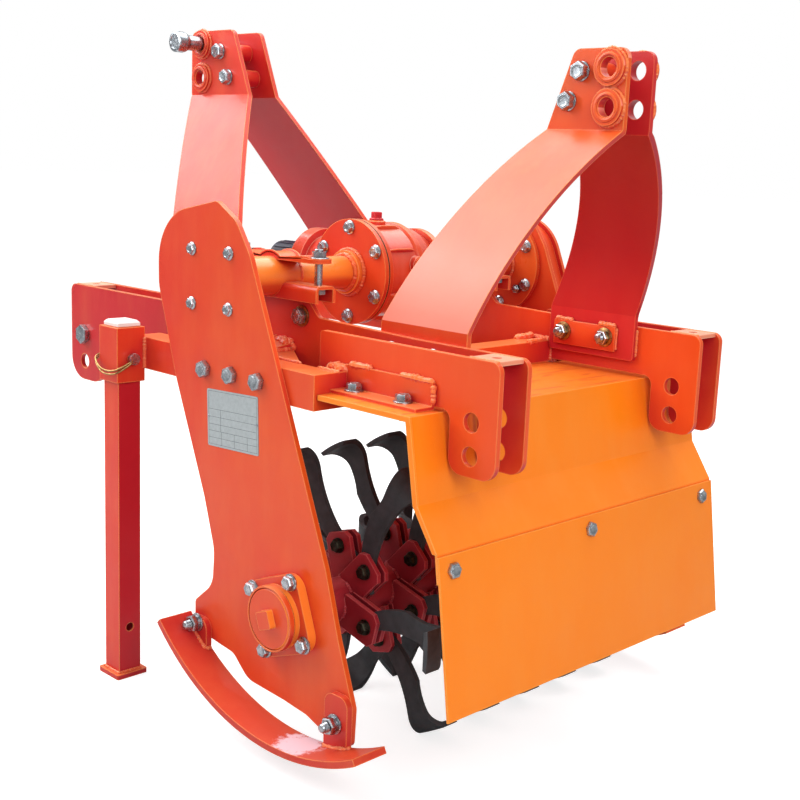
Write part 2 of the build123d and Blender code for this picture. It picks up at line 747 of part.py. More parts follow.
def hood():
    """Bent sheet: flat top, steep rear panel, outward bend and the lip that carries the board."""
    lip = (kick_foot[0] + board_down[0] * lip_length, kick_foot[1] + board_down[1] * lip_length)
    path = Polyline((hood_front_y, hood_z), (hood_rear_y, hood_z), panel_foot, kick_foot, lip)
    part = slab_x(trace(path, line_width=sheet), -hood_half_width, hood_half_width)
    shoulder_y = bar_rear_y - shoulder_gap
    for x0, x1 in ((-hood_half_width, -hood_front_half_width), (hood_front_half_width, hood_half_width)):
        part -= block(x0, x1, shoulder_y, hood_front_y + 1, hood_top - 20, hood_top + 5)
    return part


def trailing_board():
    """The flat board on the outer face of the hood's lip."""
    axes = list(zip(kick_foot, board_out, board_down))
    start = tuple(k + out * sheet + down * board_start for k, out, down in axes)
    foot = tuple(k + down * board_length for k, down in zip(start, board_down))
    return slab_x(trace(Line(start, foot), line_width=sheet), -hood_half_width, hood_half_width)


def hood_angle():
    """The angle iron welded to the left rear cheek and bolted down through the hood."""
    x1 = -beam_outer_x
    y0, y1 = angle_rear_y, angle_front_y
    upright = block(x1 - angle_thickness, x1, y0, y1, hood_top, hood_top + angle_height)
    return upright + block(x1 - angle_leg, x1, y0, y1, hood_top, hood_top + angle_thickness)


save("hood", hood())
save("trailing_board", trailing_board())
save("hood_angles", hood_angle(), right_side(hood_angle()))

# Rotor -------------------------------------------------------------------------------------

stub_end_gap = 6.0            # inside the bearing housing, past the left stub
right_stub_reach = 26.0       # of the right stub into the drive case
left_stub_end = side_plate_x + plate + bearing_length - bearing_end_wall - stub_end_gap
right_stub_end = side_plate_x + plate + right_stub_reach
blade_pitch = row_pitch / rows                    # from one blade to the next, along the rotor
holder_root = 26.0            # holders start this far from the axis, inside the tube's wall
holder_corner = 9.0


def polar(radius, angle):
    """A point (y, z) about the rotor axis; the angle is from straight down, positive forward."""
    return (radius * sin(radians(angle)), -radius * cos(radians(angle)))


def blade_places():
    """Each blade in turn: its number, its x, the angle of its tip and the side that it bends to."""
    for number in range(rows * blades_per_row):
        x = (number - (rows * blades_per_row - 1) / 2) * blade_pitch
        side = 1 if number % 2 else -1
        yield number, x, row_angle - (number + 2) * 360 / rows, side


def holder():
    """Two cheeks with the blade's shank between them, pointing straight down from the X axis."""
    half = holder_width / 2
    corners = [(-half, -holder_root), (-half, -holder_reach), (half, -holder_reach), (half, -holder_root)]
    face = make_face(Polyline(*corners, close=True))
    face = chamfer(face.vertices().group_by(Axis.Y)[0], holder_corner)
    inner = blade_thickness / 2
    return slab_x(face, inner, inner + holder_cheek) + slab_x(face, -inner - holder_cheek, -inner)


def rotor_shaft():
    """Tube with a stub at each end and a welded holder for each blade."""
    part = rod_x(rotor_tube_radius, -rotor_tube_end, rotor_tube_end, rotor_y, rotor_z)
    part += rod_x(stub_radius, -left_stub_end, right_stub_end, rotor_y, rotor_z)
    pair = holder()
    for _, x, angle, _ in blade_places():
        part += Pos(x, rotor_y, rotor_z) * Rot(angle + holder_lead, 0, 0) * pair
    return part


def blade(side):
    """One blade about the X axis, its tip centred straight down and bent towards side (-1 or 1).

    The shank leaves its holder ahead of the tip, sweeps back past it, and widens to the tip.
    """
    bend = blade_bend_radius + blade_thickness / 2
    tip_r = rotor_radius - blade_thickness / 2
    level = bend - tip_r
    corner = (side * bend * (1 - cos(radians(45))), level - bend * sin(radians(45)))
    path = Line((0, 0), (0, level))
    path += ThreePointArc((0, level), corner, (side * bend, -tip_r))
    path += Line((side * bend, -tip_r), (side * blade_reach, -tip_r))
    bar = slab_y(trace(path, line_width=blade_thickness), -rotor_radius, rotor_radius)
    front = polar(rotor_radius, tip_half_angle)
    back = polar(rotor_radius, -tip_half_angle)
    lead = ThreePointArc(polar(62, 41), polar(140, 4.5), front)
    past = rotor_radius + 6
    beyond = Polyline(front, polar(past, tip_half_angle), polar(past, -tip_half_angle), back)
    trail = ThreePointArc(back, polar(194, -5.5), polar(152, -9))
    shank = ThreePointArc(trail @ 1, polar(108, -8), polar(52, 18))
    sickle = make_face(lead + beyond + trail + shank + Line(shank @ 1, lead @ 0))
    return bar & slab_x(sickle, -70, 70) & rod_x(rotor_radius, -70, 70, 0, 0)


save("rotor_shaft", rotor_shaft())
shapes = {side: blade(side) for side in (-1, 1)}
blades = [Pos(x, rotor_y, rotor_z) * Rot(angle, 0, 0) * shapes[side] for _, x, angle, side in blade_places()]
for group in range(blades_per_row):
    save(f"blades_{group + 1}", *blades[group * rows:(group + 1) * rows])
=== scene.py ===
"""Rotary tiller: paint, fasteners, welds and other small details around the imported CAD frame.

Metres, in the CAD frame: +X is the machine's right, +Y the direction of travel, +Z up.
"""
import json
import random
from math import asin, atan2, cos, pi, radians, sin, sqrt

import bmesh
import bpy
from mathutils import Matrix, Vector


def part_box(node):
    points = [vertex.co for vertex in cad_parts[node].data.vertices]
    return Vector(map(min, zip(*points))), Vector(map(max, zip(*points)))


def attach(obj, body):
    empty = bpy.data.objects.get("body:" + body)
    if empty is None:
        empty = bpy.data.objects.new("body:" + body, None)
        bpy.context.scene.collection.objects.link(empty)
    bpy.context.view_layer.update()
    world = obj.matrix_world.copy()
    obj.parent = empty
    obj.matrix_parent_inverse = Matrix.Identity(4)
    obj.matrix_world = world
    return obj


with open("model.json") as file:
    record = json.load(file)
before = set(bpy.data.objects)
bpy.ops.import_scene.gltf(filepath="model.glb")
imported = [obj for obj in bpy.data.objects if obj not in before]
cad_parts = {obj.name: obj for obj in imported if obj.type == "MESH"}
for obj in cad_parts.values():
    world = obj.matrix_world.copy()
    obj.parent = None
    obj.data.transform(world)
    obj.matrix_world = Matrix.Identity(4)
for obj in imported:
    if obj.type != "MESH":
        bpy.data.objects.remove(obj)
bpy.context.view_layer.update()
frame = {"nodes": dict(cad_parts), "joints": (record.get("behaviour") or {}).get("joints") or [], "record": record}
nodes = frame["nodes"]

X, Y, Z = Vector((1, 0, 0)), Vector((0, 1, 0)), Vector((0, 0, 1))
LEFT, REAR, DOWN = -X, -Y, -Z


# ---- Places read from the frame ----

low = {name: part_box(name)[0] for name in nodes}
high = {name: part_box(name)[1] for name in nodes}
mounts = {m["name"]: m for m in frame["record"]["mounts"]}
joints = {j["name"]: j for j in frame["joints"]}
rotor_axis = Vector(joints["rotor_spin"]["pos_m"])
tube_axis = Vector(joints["pto_spin"]["pos_m"])
plate_face = low["side_plate_left"][0]  # outer face of the left side plate
strap_middle = low["clamp_straps"][0] + 0.020  # of the left clamp strap, along X
gear_y, gear_z = tube_axis.y, tube_axis.z


# ---- Small forms ----

SINK = 0.0005  # washers and skirts start this far inside what they lie on
PITCH = 0.0016  # of the threads on bolt ends
CHAMFER = 0.1  # of a bolt head's corners, as a part of its width over the flats
SHARP = radians(34)  # an edge that turns by more than this is not smoothed


def washer_outline(radius, crown, thick, rim=0.0004):
    """Outline of a washer whose upper edge is drawn in to the radius crown over the height rim."""
    return [(radius, -SINK), (radius, thick - rim), (crown, thick), (0, thick)]


def add_object(name, data):
    """A new object in the scene."""
    made = bpy.data.objects.new(name, data)
    bpy.context.scene.collection.objects.link(made)
    return made


class Form:
    """Faces gathered for one piece."""

    def __init__(self):
        self.mesh = bmesh.new()

    def rings(self, rings, closed=False):
        """Skin a row of rings; a ring of one point closes to a tip."""
        made = [[self.mesh.verts.new(p) for p in ring] for ring in rings]
        pairs = list(zip(made, made[1:]))
        if closed:
            pairs.append((made[-1], made[0]))
        for a, b in pairs:
            count = max(len(a), len(b))
            for i in range(count):
                j = (i + 1) % count
                corners = [a[i % len(a)], a[j % len(a)], b[j % len(b)], b[i % len(b)]]
                unique = [v for k, v in enumerate(corners) if v not in corners[:k]]
                if len(unique) > 2:
                    self.mesh.faces.new(unique)
        if not closed:
            for ring in (made[0], made[-1]):
                if len(ring) > 2:
                    self.mesh.faces.new(ring)

    def lathe(self, place, out, profile, sides=24, turn=0.0, closed=False):
        """Turned form about the line from place along out; the profile lists (radius, height)."""
        out = Vector(out).normalized()
        rings = []
        for radius, height in profile:
            middle = Vector(place) + out * height
            rings.append(circle(middle, out, radius, sides, turn) if radius else [middle])
        self.rings(rings, closed)

    def hexagon(self, place, out, across, height, turn=0.0):
        """Six-sided head with chamfered corners; across is over the flats."""
        radius = across / sqrt(3)
        profile = [(radius, 0), (radius, height - 0.12 * across), (radius * 0.86, height)]
        self.lathe(place, out, profile, 6, turn)

    def bolt(self, place, out, across, head, washer=0.0, turn=0.0, flange=False):
        """Bolt head on its washer or flange, with the shallow cup that forged heads have."""
        seat = 0.0
        if washer:
            seat = 0.0021
            self.lathe(place, out, washer_outline(washer, washer * 0.95, seat))
        if flange:
            skirt, neck = across * 0.68, across * 0.54
            steps = [(skirt, seat - SINK), (skirt, seat + 0.0012), (neck, seat + 0.003), (0, seat + 0.003)]
            self.lathe(place, out, steps)
        radius = across / sqrt(3)
        top = seat + head
        sides = [(radius, seat), (radius, top - CHAMFER * across), (radius * 0.87, top), (radius * 0.62, top)]
        self.lathe(place, out, sides, 6, turn)
        rim = across * 0.36
        cup = [(rim, top - 0.0004), (rim, top + 0.0005), (rim * 0.8, top + 0.0003)]
        cup += [(rim * 0.62, top - 0.0003), (0, top - 0.0003)]
        self.lathe(place, out, cup, 20)

    def nut(self, place, out, across, height, stud, bore, washer=0.0, turn=0.0, spring=False, dome=False):
        """Nut with the threaded end of its bolt; stud is how far that stands out, bore its radius."""
        seat = 0.0
        if washer:
            seat = 0.0023
            self.lathe(place, out, washer_outline(washer, washer * 0.95, seat))
        if spring:
            ring = across * 0.49
            self.lathe(place, out, [(ring, seat), (ring, seat + 0.003), (0, seat + 0.003)])
            seat += 0.003
        radius = across / sqrt(3)
        top = seat + height
        sides = [(radius * 0.9, seat), (radius, seat + 0.08 * across), (radius, top - 0.08 * across)]
        sides += [(radius * 0.88, top), (radius * 0.6, top)]
        self.lathe(place, out, sides, 6, turn)
        thread = [(bore, top - 0.001)]
        for i in range(int(stud / PITCH)):
            thread += [(bore, top + i * PITCH + 0.0003), (bore * 0.87, top + i * PITCH + 0.0011)]
        end = top + stud
        if dome:
            thread += [(bore * 0.95, end), (bore * 0.75, end + 0.0022)]
            thread += [(bore * 0.35, end + 0.0034), (0, end + 0.0037)]
        else:
            thread += [(bore * 0.9, end), (bore * 0.7, end + 0.0008), (0, end + 0.0008)]
        self.lathe(place, out, thread, 18)

    def tube(self, points, radius, sides=10, closed=False):
        """Round bar along points; radius may be a list with one value for each point."""
        points = [Vector(p) for p in points]
        radii = radius if isinstance(radius, list) else [radius] * len(points)
        rings = []
        side = None
        for i, point in enumerate(points):
            before = points[i - 1] if i or closed else point
            after = points[(i + 1) % len(points)] if i + 1 < len(points) or closed else point
            along = (after - before).normalized()
            if side is None:
                side = along.orthogonal().normalized()
            side = (side - along * side.dot(along)).normalized()
            up = along.cross(side)
            angles = [2 * pi * k / sides for k in range(sides)]
            rings.append([point + (side * cos(a) + up * sin(a)) * radii[i] for a in angles])
        self.rings(rings, closed)

    def weld(self, points, radius, seed, closed=False):
        """Hand-laid weld bead: overlapping ripples of uneven size along a line."""
        rng = random.Random(seed)
        points = [Vector(p) for p in points]
        if closed:
            points.append(points[0])
        step = radius * 0.5
        line, radii = [], []
        for a, b in zip(points, points[1:]):
            count = max(1, round((b - a).length / step))
            for i in range(count):
                line.append(a.lerp(b, i / count))
        if not closed:
            line.append(points[-1])
        drift = 0.0
        for i in range(len(line)):
            drift = 0.8 * drift + rng.uniform(-0.1, 0.1)
            ripple = 0.09 * (1 if i % 3 == 0 else -0.5)
            radii.append(radius * (1 + ripple + drift + rng.uniform(-0.05, 0.05)))
            line[i] += Vector([rng.uniform(-0.10, 0.10) * radius for _ in range(3)])
        if not closed:
            radii[0] *= 0.5
            radii[-1] *= 0.5
        self.tube(line, radii, 9, closed)

    def slab(self, outline, to_space, depth):
        """Flat outline (u, v) placed by to_space(u, v) and thickened by the vector depth."""
        depth = Vector(depth)
        front = [to_space(u, v) for u, v in outline]
        self.rings([front, [p + depth for p in front]])

    def block(self, lowest, highest, bevel):
        """Box between two corners, with its edges bevelled."""
        a, b = Vector(lowest), Vector(highest)
        ring = [(a.x, a.y), (b.x, a.y), (b.x, b.y), (a.x, b.y)]
        box = Form()
        box.rings([[(x, y, z) for x, y in ring] for z in (a.z, b.z)])
        edges = box.mesh.edges[:]
        bmesh.ops.bevel(box.mesh, geom=edges, offset=bevel, segments=2, profile=0.5, affect="EDGES")
        # The bevel's order changes from run to run, so its faces are copied in a steady one
        spots = sorted(box.mesh.verts, key=lambda v: [round(c, 5) for c in v.co])
        rank = {v: i for i, v in enumerate(spots)}
        faces = []
        for face in box.mesh.faces:
            corners = [rank[v] for v in face.verts]
            first = corners.index(min(corners))
            faces.append(corners[first:] + corners[:first])
        made = [self.mesh.verts.new(v.co) for v in spots]
        for corners in sorted(faces):
            self.mesh.faces.new([made[i] for i in corners])
        box.mesh.free()

    def mirrored(self):
        """Add the mirror image on the machine's other side."""
        geometry = self.mesh.verts[:] + self.mesh.edges[:] + self.mesh.faces[:]
        copy = bmesh.ops.duplicate(self.mesh, geom=geometry)["geom"]
        for v in [g for g in copy if isinstance(g, bmesh.types.BMVert)]:
            v.co.x = -v.co.x
        return self

    def place(self, name, finish, body="frame"):
        """Make the piece, smooth except at sharp edges, and let it ride on its body."""
        material, slot = finishes[finish]
        bmesh.ops.recalc_face_normals(self.mesh, faces=self.mesh.faces)
        for face in self.mesh.faces:
            face.smooth = True
        for edge in self.mesh.edges:
            edge.smooth = len(edge.link_faces) == 2 and edge.calc_face_angle(0) < SHARP
        data = bpy.data.meshes.new(name)
        self.mesh.to_mesh(data)
        self.mesh.free()
        data.materials.append(material)
        made = add_object(name, data)
        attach(made, body)


def circle(middle, axis, radius, count, turn=0.0):
    """Points round a circle about the axis, without repeating the first."""
    axis = Vector(axis).normalized()
    u = (Z if abs(axis.z) < 0.9 else Y).cross(axis).normalized()
    v = axis.cross(u)
    angles = [turn + 2 * pi * i / count for i in range(count)]
    return [Vector(middle) + (u * cos(a) + v * sin(a)) * radius for a in angles]


def bolt_ring(name, x, middle, radius, start, count, across, head, **kind):
    """Place bolts evenly round the line along X through middle (y, z); start is in degrees from +Y."""
    form = Form()
    for k in range(count):
        a = radians(start + 360 / count * k)
        place = (x, middle[0] + radius * cos(a), middle[1] + radius * sin(a))
        form.bolt(place, LEFT, across, head, turn=k, **kind)
    form.place(name, "zinc")


# ---- Materials ----

def wire(tree, node, inputs):
    """Link a node's inputs to the sockets given for them, or set them to the values given."""
    for key, value in inputs.items():
        if isinstance(value, bpy.types.NodeSocket):
            tree.links.new(value, node.inputs[key])
        else:
            node.inputs[key].default_value = value


def add_node(tree, kind, inputs=(), **settings):
    """A new node in the tree, with its inputs and its own settings filled in."""
    made = tree.nodes.new(kind)
    for key, value in settings.items():
        setattr(made, key, value)
    wire(tree, made, dict(inputs))
    return made


class Shader:
    """A small helper to build node materials."""

    def __init__(self, name):
        self.material = bpy.data.materials.new(name)
        self.material.use_nodes = True
        self.tree = self.material.node_tree
        self.bsdf = self.tree.nodes["Principled BSDF"]
        self.position = self.node("ShaderNodeTexCoord").outputs["Object"]

    def node(self, kind, inputs=(), **settings):
        return add_node(self.tree, kind, inputs, **settings)

    def noise(self, scale, detail=4.0, roughness=0.5, stretch=None):
        """A noise value about the object's own position; scale is in lumps for each metre."""
        where = self.position
        if stretch:
            where = self.node("ShaderNodeMapping", {"Vector": where, "Scale": stretch}).outputs[0]
        inputs = {"Vector": where, "Scale": scale, "Detail": detail, "Roughness": roughness}
        return self.node("ShaderNodeTexNoise", inputs).outputs["Fac"]

    def ramp(self, value, low, high, start=0.0, end=1.0):
        """Value mapped from (low, high) to (start, end), clamped."""
        inputs = {"Value": value, "From Min": low, "From Max": high, "To Min": start, "To Max": end}
        return self.node("ShaderNodeMapRange", inputs).outputs["Result"]

    def math(self, operation, a, b):
        return self.node("ShaderNodeMath", {0: a, 1: b}, operation=operation).outputs[0]

    def mix(self, factor, a, b):
        """Colour a where factor is 0, b where it is 1."""
        return self.node("ShaderNodeMix", {0: factor, 6: a, 7: b}, data_type="RGBA").outputs[2]

    def edge_mask(self, radius):
        """1 along sharp outer edges, 0 on open faces."""
        rounded = self.node("ShaderNodeBevel", {"Radius": radius}, samples=6)
        flat = self.node("ShaderNodeNewGeometry")
        inputs = {0: rounded.outputs[0], 1: flat.outputs["Normal"]}
        turn = self.node("ShaderNodeVectorMath", inputs, operation="DOT_PRODUCT")
        return self.ramp(turn.outputs["Value"], 0.98, 0.75)

    def shade_mask(self, distance):
        """1 in corners and under other parts, 0 in the open: where shade is painted."""
        open_sky = self.node("ShaderNodeAmbientOcclusion", {"Distance": distance}, samples=8)
        return self.ramp(open_sky.outputs["AO"], 0.82, 0.22)

    def facing(self, axis, start, end):
        """0 to 1 as the surface turns from start to end, as the axis part of its normal."""
        normal = self.node("ShaderNodeNewGeometry").outputs["Normal"]
        parts = self.node("ShaderNodeSeparateXYZ", {0: normal})
        return self.ramp(parts.outputs[axis], start, end)

    def surface(self, color, roughness, height, bump, distance, bevel=0.0, **sockets):
        """Set the shader: bump and distance are the strength and depth of the height pattern."""
        pattern = {"Strength": bump, "Distance": distance, "Height": height}
        if bevel:
            pattern["Normal"] = self.node("ShaderNodeBevel", {"Radius": bevel}, samples=6).outputs[0]
        relief = self.node("ShaderNodeBump", pattern).outputs[0]
        others = {key.replace("_", " "): value for key, value in sockets.items()}
        inputs = {"Base Color": color, "Roughness": roughness, "Normal": relief, **others}
        wire(self.tree, self.bsdf, inputs)
        return self.material


def rgb(hex_code):
    """A display colour such as "E2542A" as linear RGBA."""
    parts = [int(hex_code[i:i + 2], 16) / 255 for i in (0, 2, 4)]
    return tuple(c / 12.92 if c <= 0.04045 else ((c + 0.055) / 1.055) ** 2.4 for c in parts) + (1.0,)


def paint(name, base, rear_lit, edge, deep, roughness=0.34, coat=0.25, peel=0.2, **extra):
    """Enamel: base at the front and, in soft clouds, a lighter colour at the rear that is painted light, as the
    rear stands nearer the key lamp; the edge colour on sharp edges as a painted highlight, partly also rubbed
    wear; the deep colour as painted shade in corners, under other parts and on faces turned down.

    peel is the strength of its orange peel. The extras: sky, how much edge colour lies on level tops as a painted
    highlight;
    rear, how much deep colour lies on faces to the rear as painted shade; sweeps, how strong the deep brush sweeps
    on level tops are; glow, (axis, start, full, gone, colour) of a painted glare by that part of the face's
    normal; worn, (middle, reach, colour) of one bare patch.
    """
    sky, rear, sweeps = extra.get("sky", 0.35), extra.get("rear"), extra.get("sweeps")
    glow, worn = extra.get("glow"), extra.get("worn")
    s = Shader(name)
    cloud = s.ramp(s.noise(6.0, 5.0, 0.6), 0.3, 0.7, -0.25, 0.25)
    streak = s.ramp(s.noise(26.0, 3.0, 0.6, stretch=(1.0, 1.0, 0.25)), 0.42, 0.72)
    # Painted light: a lighter colour towards the rear, which stands nearer the key lamp, broken up by soft random
    # clouds.
    travel = s.node("ShaderNodeSeparateXYZ", {0: s.position}).outputs["Y"]
    rear_light_and_clouds = s.math("ADD", s.ramp(travel, 0.25, -0.40), cloud)
    tone = s.mix(s.ramp(rear_light_and_clouds, 0.0, 1.0), rgb(base), rgb(rear_lit))
    tone = s.mix(s.math("MULTIPLY", streak, 0.08), tone, rgb(edge))
    if sweeps:
        settings = {"Vector": s.position, "Rotation": (0, 0, 0.5), "Scale": (1.2, 9, 1)}
        turned = s.node("ShaderNodeMapping", settings)
        lanes = {"Vector": turned.outputs[0], "Scale": 6.0, "Detail": 5.0, "Distortion": 1.6}
        lane = s.ramp(s.node("ShaderNodeTexNoise", lanes).outputs["Fac"], 0.5, 0.62)
        lane = s.math("MULTIPLY", s.math("MULTIPLY", lane, s.facing("Z", 0.7, 0.9)), sweeps)
        tone = s.mix(lane, tone, rgb(deep))
    # Painted shade: the deep colour in corners, under other parts and on faces turned down, and, where asked, on
    # faces to the rear.
    under = s.math("MULTIPLY", s.facing("Z", 0.02, -0.40), 0.85)
    shade = s.math("MAXIMUM", s.math("MULTIPLY", s.shade_mask(0.12), 0.95), under)
    if rear:
        shade = s.math("MAXIMUM", shade, s.math("MULTIPLY", s.facing("Y", -0.5, -0.9), rear))
    tone = s.mix(shade, tone, rgb(deep))
    # Painted highlight: the edge colour on level tops.
    tone = s.mix(s.math("MULTIPLY", s.facing("Z", 0.75, 0.95), sky), tone, rgb(edge))
    if glow:
        axis, start, full, gone, pale = glow
        lit = s.math("MULTIPLY", s.facing(axis, start, full), s.facing(axis, gone, full))
        tone = s.mix(lit, tone, rgb(pale))
    # Painted highlight along sharp edges, partly also rubbed wear.
    color = s.mix(s.math("MULTIPLY", s.edge_mask(0.0032), 0.9), tone, rgb(edge))
    if worn:
        middle, reach, bare = worn
        away = s.node("ShaderNodeVectorMath", {0: s.position, 1: middle}, operation="DISTANCE")
        fringe = s.math("MULTIPLY", s.noise(95.0, 6.0, 0.75), 0.070)
        patch = s.ramp(s.math("ADD", away.outputs["Value"], fringe), reach + 0.006, reach - 0.006)
        patch = s.math("MULTIPLY", patch, s.facing("Z", 0.6, 0.8))
        color = s.mix(patch, color, rgb(bare))
    texture = s.math("ADD", s.noise(420.0, 2.0, 0.5), s.math("MULTIPLY", s.noise(60.0, 2.0, 0.5), 1.6))
    rough = s.ramp(s.noise(15.0, 4.0, 0.6), 0.3, 0.7, roughness - 0.05, roughness + 0.08)
    return s.surface(color, rough, texture, peel, 0.0006, bevel=0.0014, Coat_Weight=coat,
                     Coat_Roughness=0.24, Specular_IOR_Level=0.3)


def metal(name, base, shade, roughness=0.3, metallic=1.0):
    """Plated steel with small clouds and fine scratches."""
    s = Shader(name)
    cloud = s.ramp(s.noise(160.0, 4.0, 0.6), 0.35, 0.7)
    color = s.mix(cloud, rgb(base), rgb(shade))
    # Painted shade: darker in tight crevices.
    color = s.mix(s.math("MULTIPLY", s.shade_mask(0.006), 0.75), color, rgb("3A332E"))
    rough = s.ramp(s.noise(320.0, 3.0, 0.6), 0.3, 0.7, roughness - 0.08, roughness + 0.14)
    return s.surface(color, rough, s.noise(900.0, 2.0), 0.12, 0.0003, bevel=0.0006, Metallic=metallic)


def black_steel(name):
    """Blades: thin black paint over forged steel, rubbed along the edges."""
    s = Shader(name)
    cloud = s.ramp(s.noise(38.0, 6.0, 0.65), 0.38, 0.66)
    color = s.mix(cloud, rgb("3B3E41"), rgb("484B4E"))
    color = s.mix(s.math("MULTIPLY", s.edge_mask(0.0012), 0.4), color, rgb("6A6B6C"))
    grain = s.math("ADD", s.noise(260.0, 5.0, 0.6), s.math("MULTIPLY", s.noise(48.0, 3.0), 1.5))
    rough = s.ramp(s.noise(60.0, 4.0), 0.3, 0.7, 0.5, 0.68)
    return s.surface(color, rough, grain, 0.3, 0.0008, bevel=0.001, Specular_IOR_Level=0.35)


def plastic(name, base, shade, roughness):
    """Moulded plastic, paler along its edges."""
    s = Shader(name)
    color = s.mix(s.ramp(s.noise(40.0, 4.0), 0.3, 0.7), rgb(base), rgb(shade))
    color = s.mix(s.math("MULTIPLY", s.edge_mask(0.0008), 0.5), color, rgb("FFFFFF"))
    return s.surface(color, roughness, s.noise(700.0, 2.0), 0.1, 0.0004, bevel=0.001)


def dull(name, base, shade):
    """Rubber or printed film."""
    s = Shader(name)
    color = s.mix(s.ramp(s.noise(90.0, 4.0), 0.3, 0.7), rgb(base), rgb(shade))
    return s.surface(color, 0.7, s.noise(500.0, 3.0), 0.15, 0.0003, Specular_IOR_Level=0.3)


# Colours of each enamel: base; a lighter colour painted towards the rear as light; a pale colour for the painted
# highlight on edges and level tops, also used for faint random streaks; a crimson for painted shade.
ENAMEL = ("DA3620", "E65416", "FFA058", "BE1628")
WELD = ("EC6230", "F47A34", "FFB080", "D03028")
SKID_WEAR = ((-0.358, -0.258, 0.052), 0.070, "FBCFD8")
STRAP_GLARE = ("Z", 0.04, 0.12, 0.68, "FF9884")
BEARING_GLARE = ("Y", -0.1, -0.5, -4.0, "FF8A30")
look = {
    "orange_red_paint": paint("orange_red_enamel", *ENAMEL),
    "red_paint": paint("red_enamel", "DE3A22", "E85018", "FF9050", "C01A30"),
    "bright_orange_paint": paint("orange_enamel", "FC7E08", "FF860C", "FFB050", "E0481C", 0.4, 0.15, sky=0.1),
    "dark_red_paint": paint("dark_red_enamel", "CC4048", "C0303C", "E87070", "8C1E2A", 0.4, 0.2),
    "blade_black": black_steel("black_steel"),
    "zinc": metal("zinc_plate", "C8CED4", "8E979E", 0.26),
    "white_plastic": plastic("white_moulding", "F0EFEC", "E2E0DB", 0.5),
    "navy_plastic": plastic("navy_moulding", "1C2546", "141A32", 0.42),
}
own_look = {
    # The left skid: a worn, pale patch on its top, and a darker crimson colour that is painted shade from the
    # parts above it, with little painted highlight on its tops.
    "skid_left": paint("worn_and_shaded_enamel", "C82E26", "D63A20", "FF9A58", "BE1628", worn=SKID_WEAR, sky=0.1),
    # The stand: the crimson painted shade also on its faces to the rear.
    "stand": paint("stand_enamel", *ENAMEL, rear=0.9),
    "hood": paint("hood_enamel", "FC7E08", "FF860C", "FFB860", "D85014", 0.36, 0.3, sweeps=0.75, sky=0.1),
    # The front cheeks: painted darker crimson, as painted shade behind the stand.
    "beam_cheeks_front": paint("front_cheek_enamel", "C4242A", "CC2E28", "FFA058", "B81628"),
    "mast_rear_left_strap": paint("pale_strap_enamel", *ENAMEL, glow=STRAP_GLARE),
    # The right rear strap: painted crimson, as painted shade.
    "mast_rear_right_strap": paint("strap_enamel", "C4222A", "CC2C2A", "F06A48", "A81428"),
    # Both cross tubes: painted brighter orange than the enamel, the near one most, as painted light.
    "cross_tube_left": paint("tube_enamel", "FA8228", "FF9A38", "FFB070", "D03A28", 0.3, 0.8),
    "cross_tube_right": paint("far_tube_enamel", "E85C1C", "EC6A20", "FFA060", "C42428", 0.3, 0.8),
    # The gearbox: a pale pink on its edges and level tops as a painted highlight.
    "gearbox_housing": paint("casting_enamel", "DC3A24", "E65220", "FFB898", "B81628", 0.3, 0.9, 0.5),
    "bearing_housing": paint("bearing_enamel", "D4381E", "E24C1E", "FF9C50", "C42028", glow=BEARING_GLARE),
    # The clevis bridges: painted pale all over, as a painted highlight.
    "clevis_bridges": paint("pale_enamel", "F4A184", "F08C68", "FFC8A8", "D04030"),
}
short_names = {"enamel": "orange_red_paint", "orange": "bright_orange_paint", "zinc": "zinc",
               "dark_red": "dark_red_paint", "navy": "navy_plastic"}
finishes = {  # of the small pieces: material, and slot of the record where it has one
    **{short: (look[slot], slot) for short, slot in short_names.items()},
    "weld": (paint("weld_enamel", *WELD, 0.38, 0.3, 0.5), "orange_red_paint"),
    "plug": (paint("plug_enamel", "D0202C", "B81824", "F05050", "8E1020"), None),
    "gold": (metal("yellow_zinc", "B89460", "7E6038", 0.3), None),
    "oiled": (metal("oiled_steel", "4A4C40", "2E3028", 0.45), None),
    "plate": (metal("plate_aluminium", "B4BCBE", "A8B0B2", 0.42, 0.3), None),
    "seal": (dull("seal", "2A1C1A", "38241E"), None),
    "ruling": (dull("ruling", "6E7476", "5C6264"), None),
}

slots = {part["node"]: part["material_slot"] for part in frame["record"]["subparts"]}
for name, node in nodes.items():
    node.data.materials.clear()
    node.data.materials.append(own_look.get(name, look[slots[name]]))


# ---- Left side plate ----

beam_top = high["beam_cheeks_rear"][2]
bar_low = low["side_bars"][2]
bar_top = bar_low + 0.050
bar_middle = (bar_low + bar_top) / 2
bar_inner = plate_face + 0.053  # inner face of the left side bar
bar_bolts = (gear_y + 0.010, gear_y - 0.053, gear_y - 0.114)
flange_face = plate_face + 0.016  # inner face of the cross tube's square flange
flange_corners = [(dy, dz) for dy in (-0.044, 0.044) for dz in (-0.040, 0.040)]

form = Form()
for turn, y in enumerate(bar_bolts):
    form.bolt((plate_face, y, bar_middle), LEFT, 0.023, 0.010, turn=0.4 + turn)
form.place("side_bar_bolts_left", "zinc")

form = Form()
for turn, (dy, dz) in enumerate(flange_corners):
    form.bolt((plate_face, gear_y + dy, gear_z + dz), LEFT, 0.0145, 0.006, turn=turn, flange=True)
form.place("tube_flange_bolts_left", "zinc")

form = Form()
for turn, y in enumerate(bar_bolts):
    form.nut((bar_inner, y, bar_middle), X, 0.022, 0.011, 0.004, 0.007, washer=0.0135, turn=turn)
for dy, dz in flange_corners:
    form.nut((flange_face, gear_y + dy, gear_z + dz), X, 0.014, 0.008, 0.004, 0.0045)
form.mirrored().place("side_bar_nuts", "zinc")


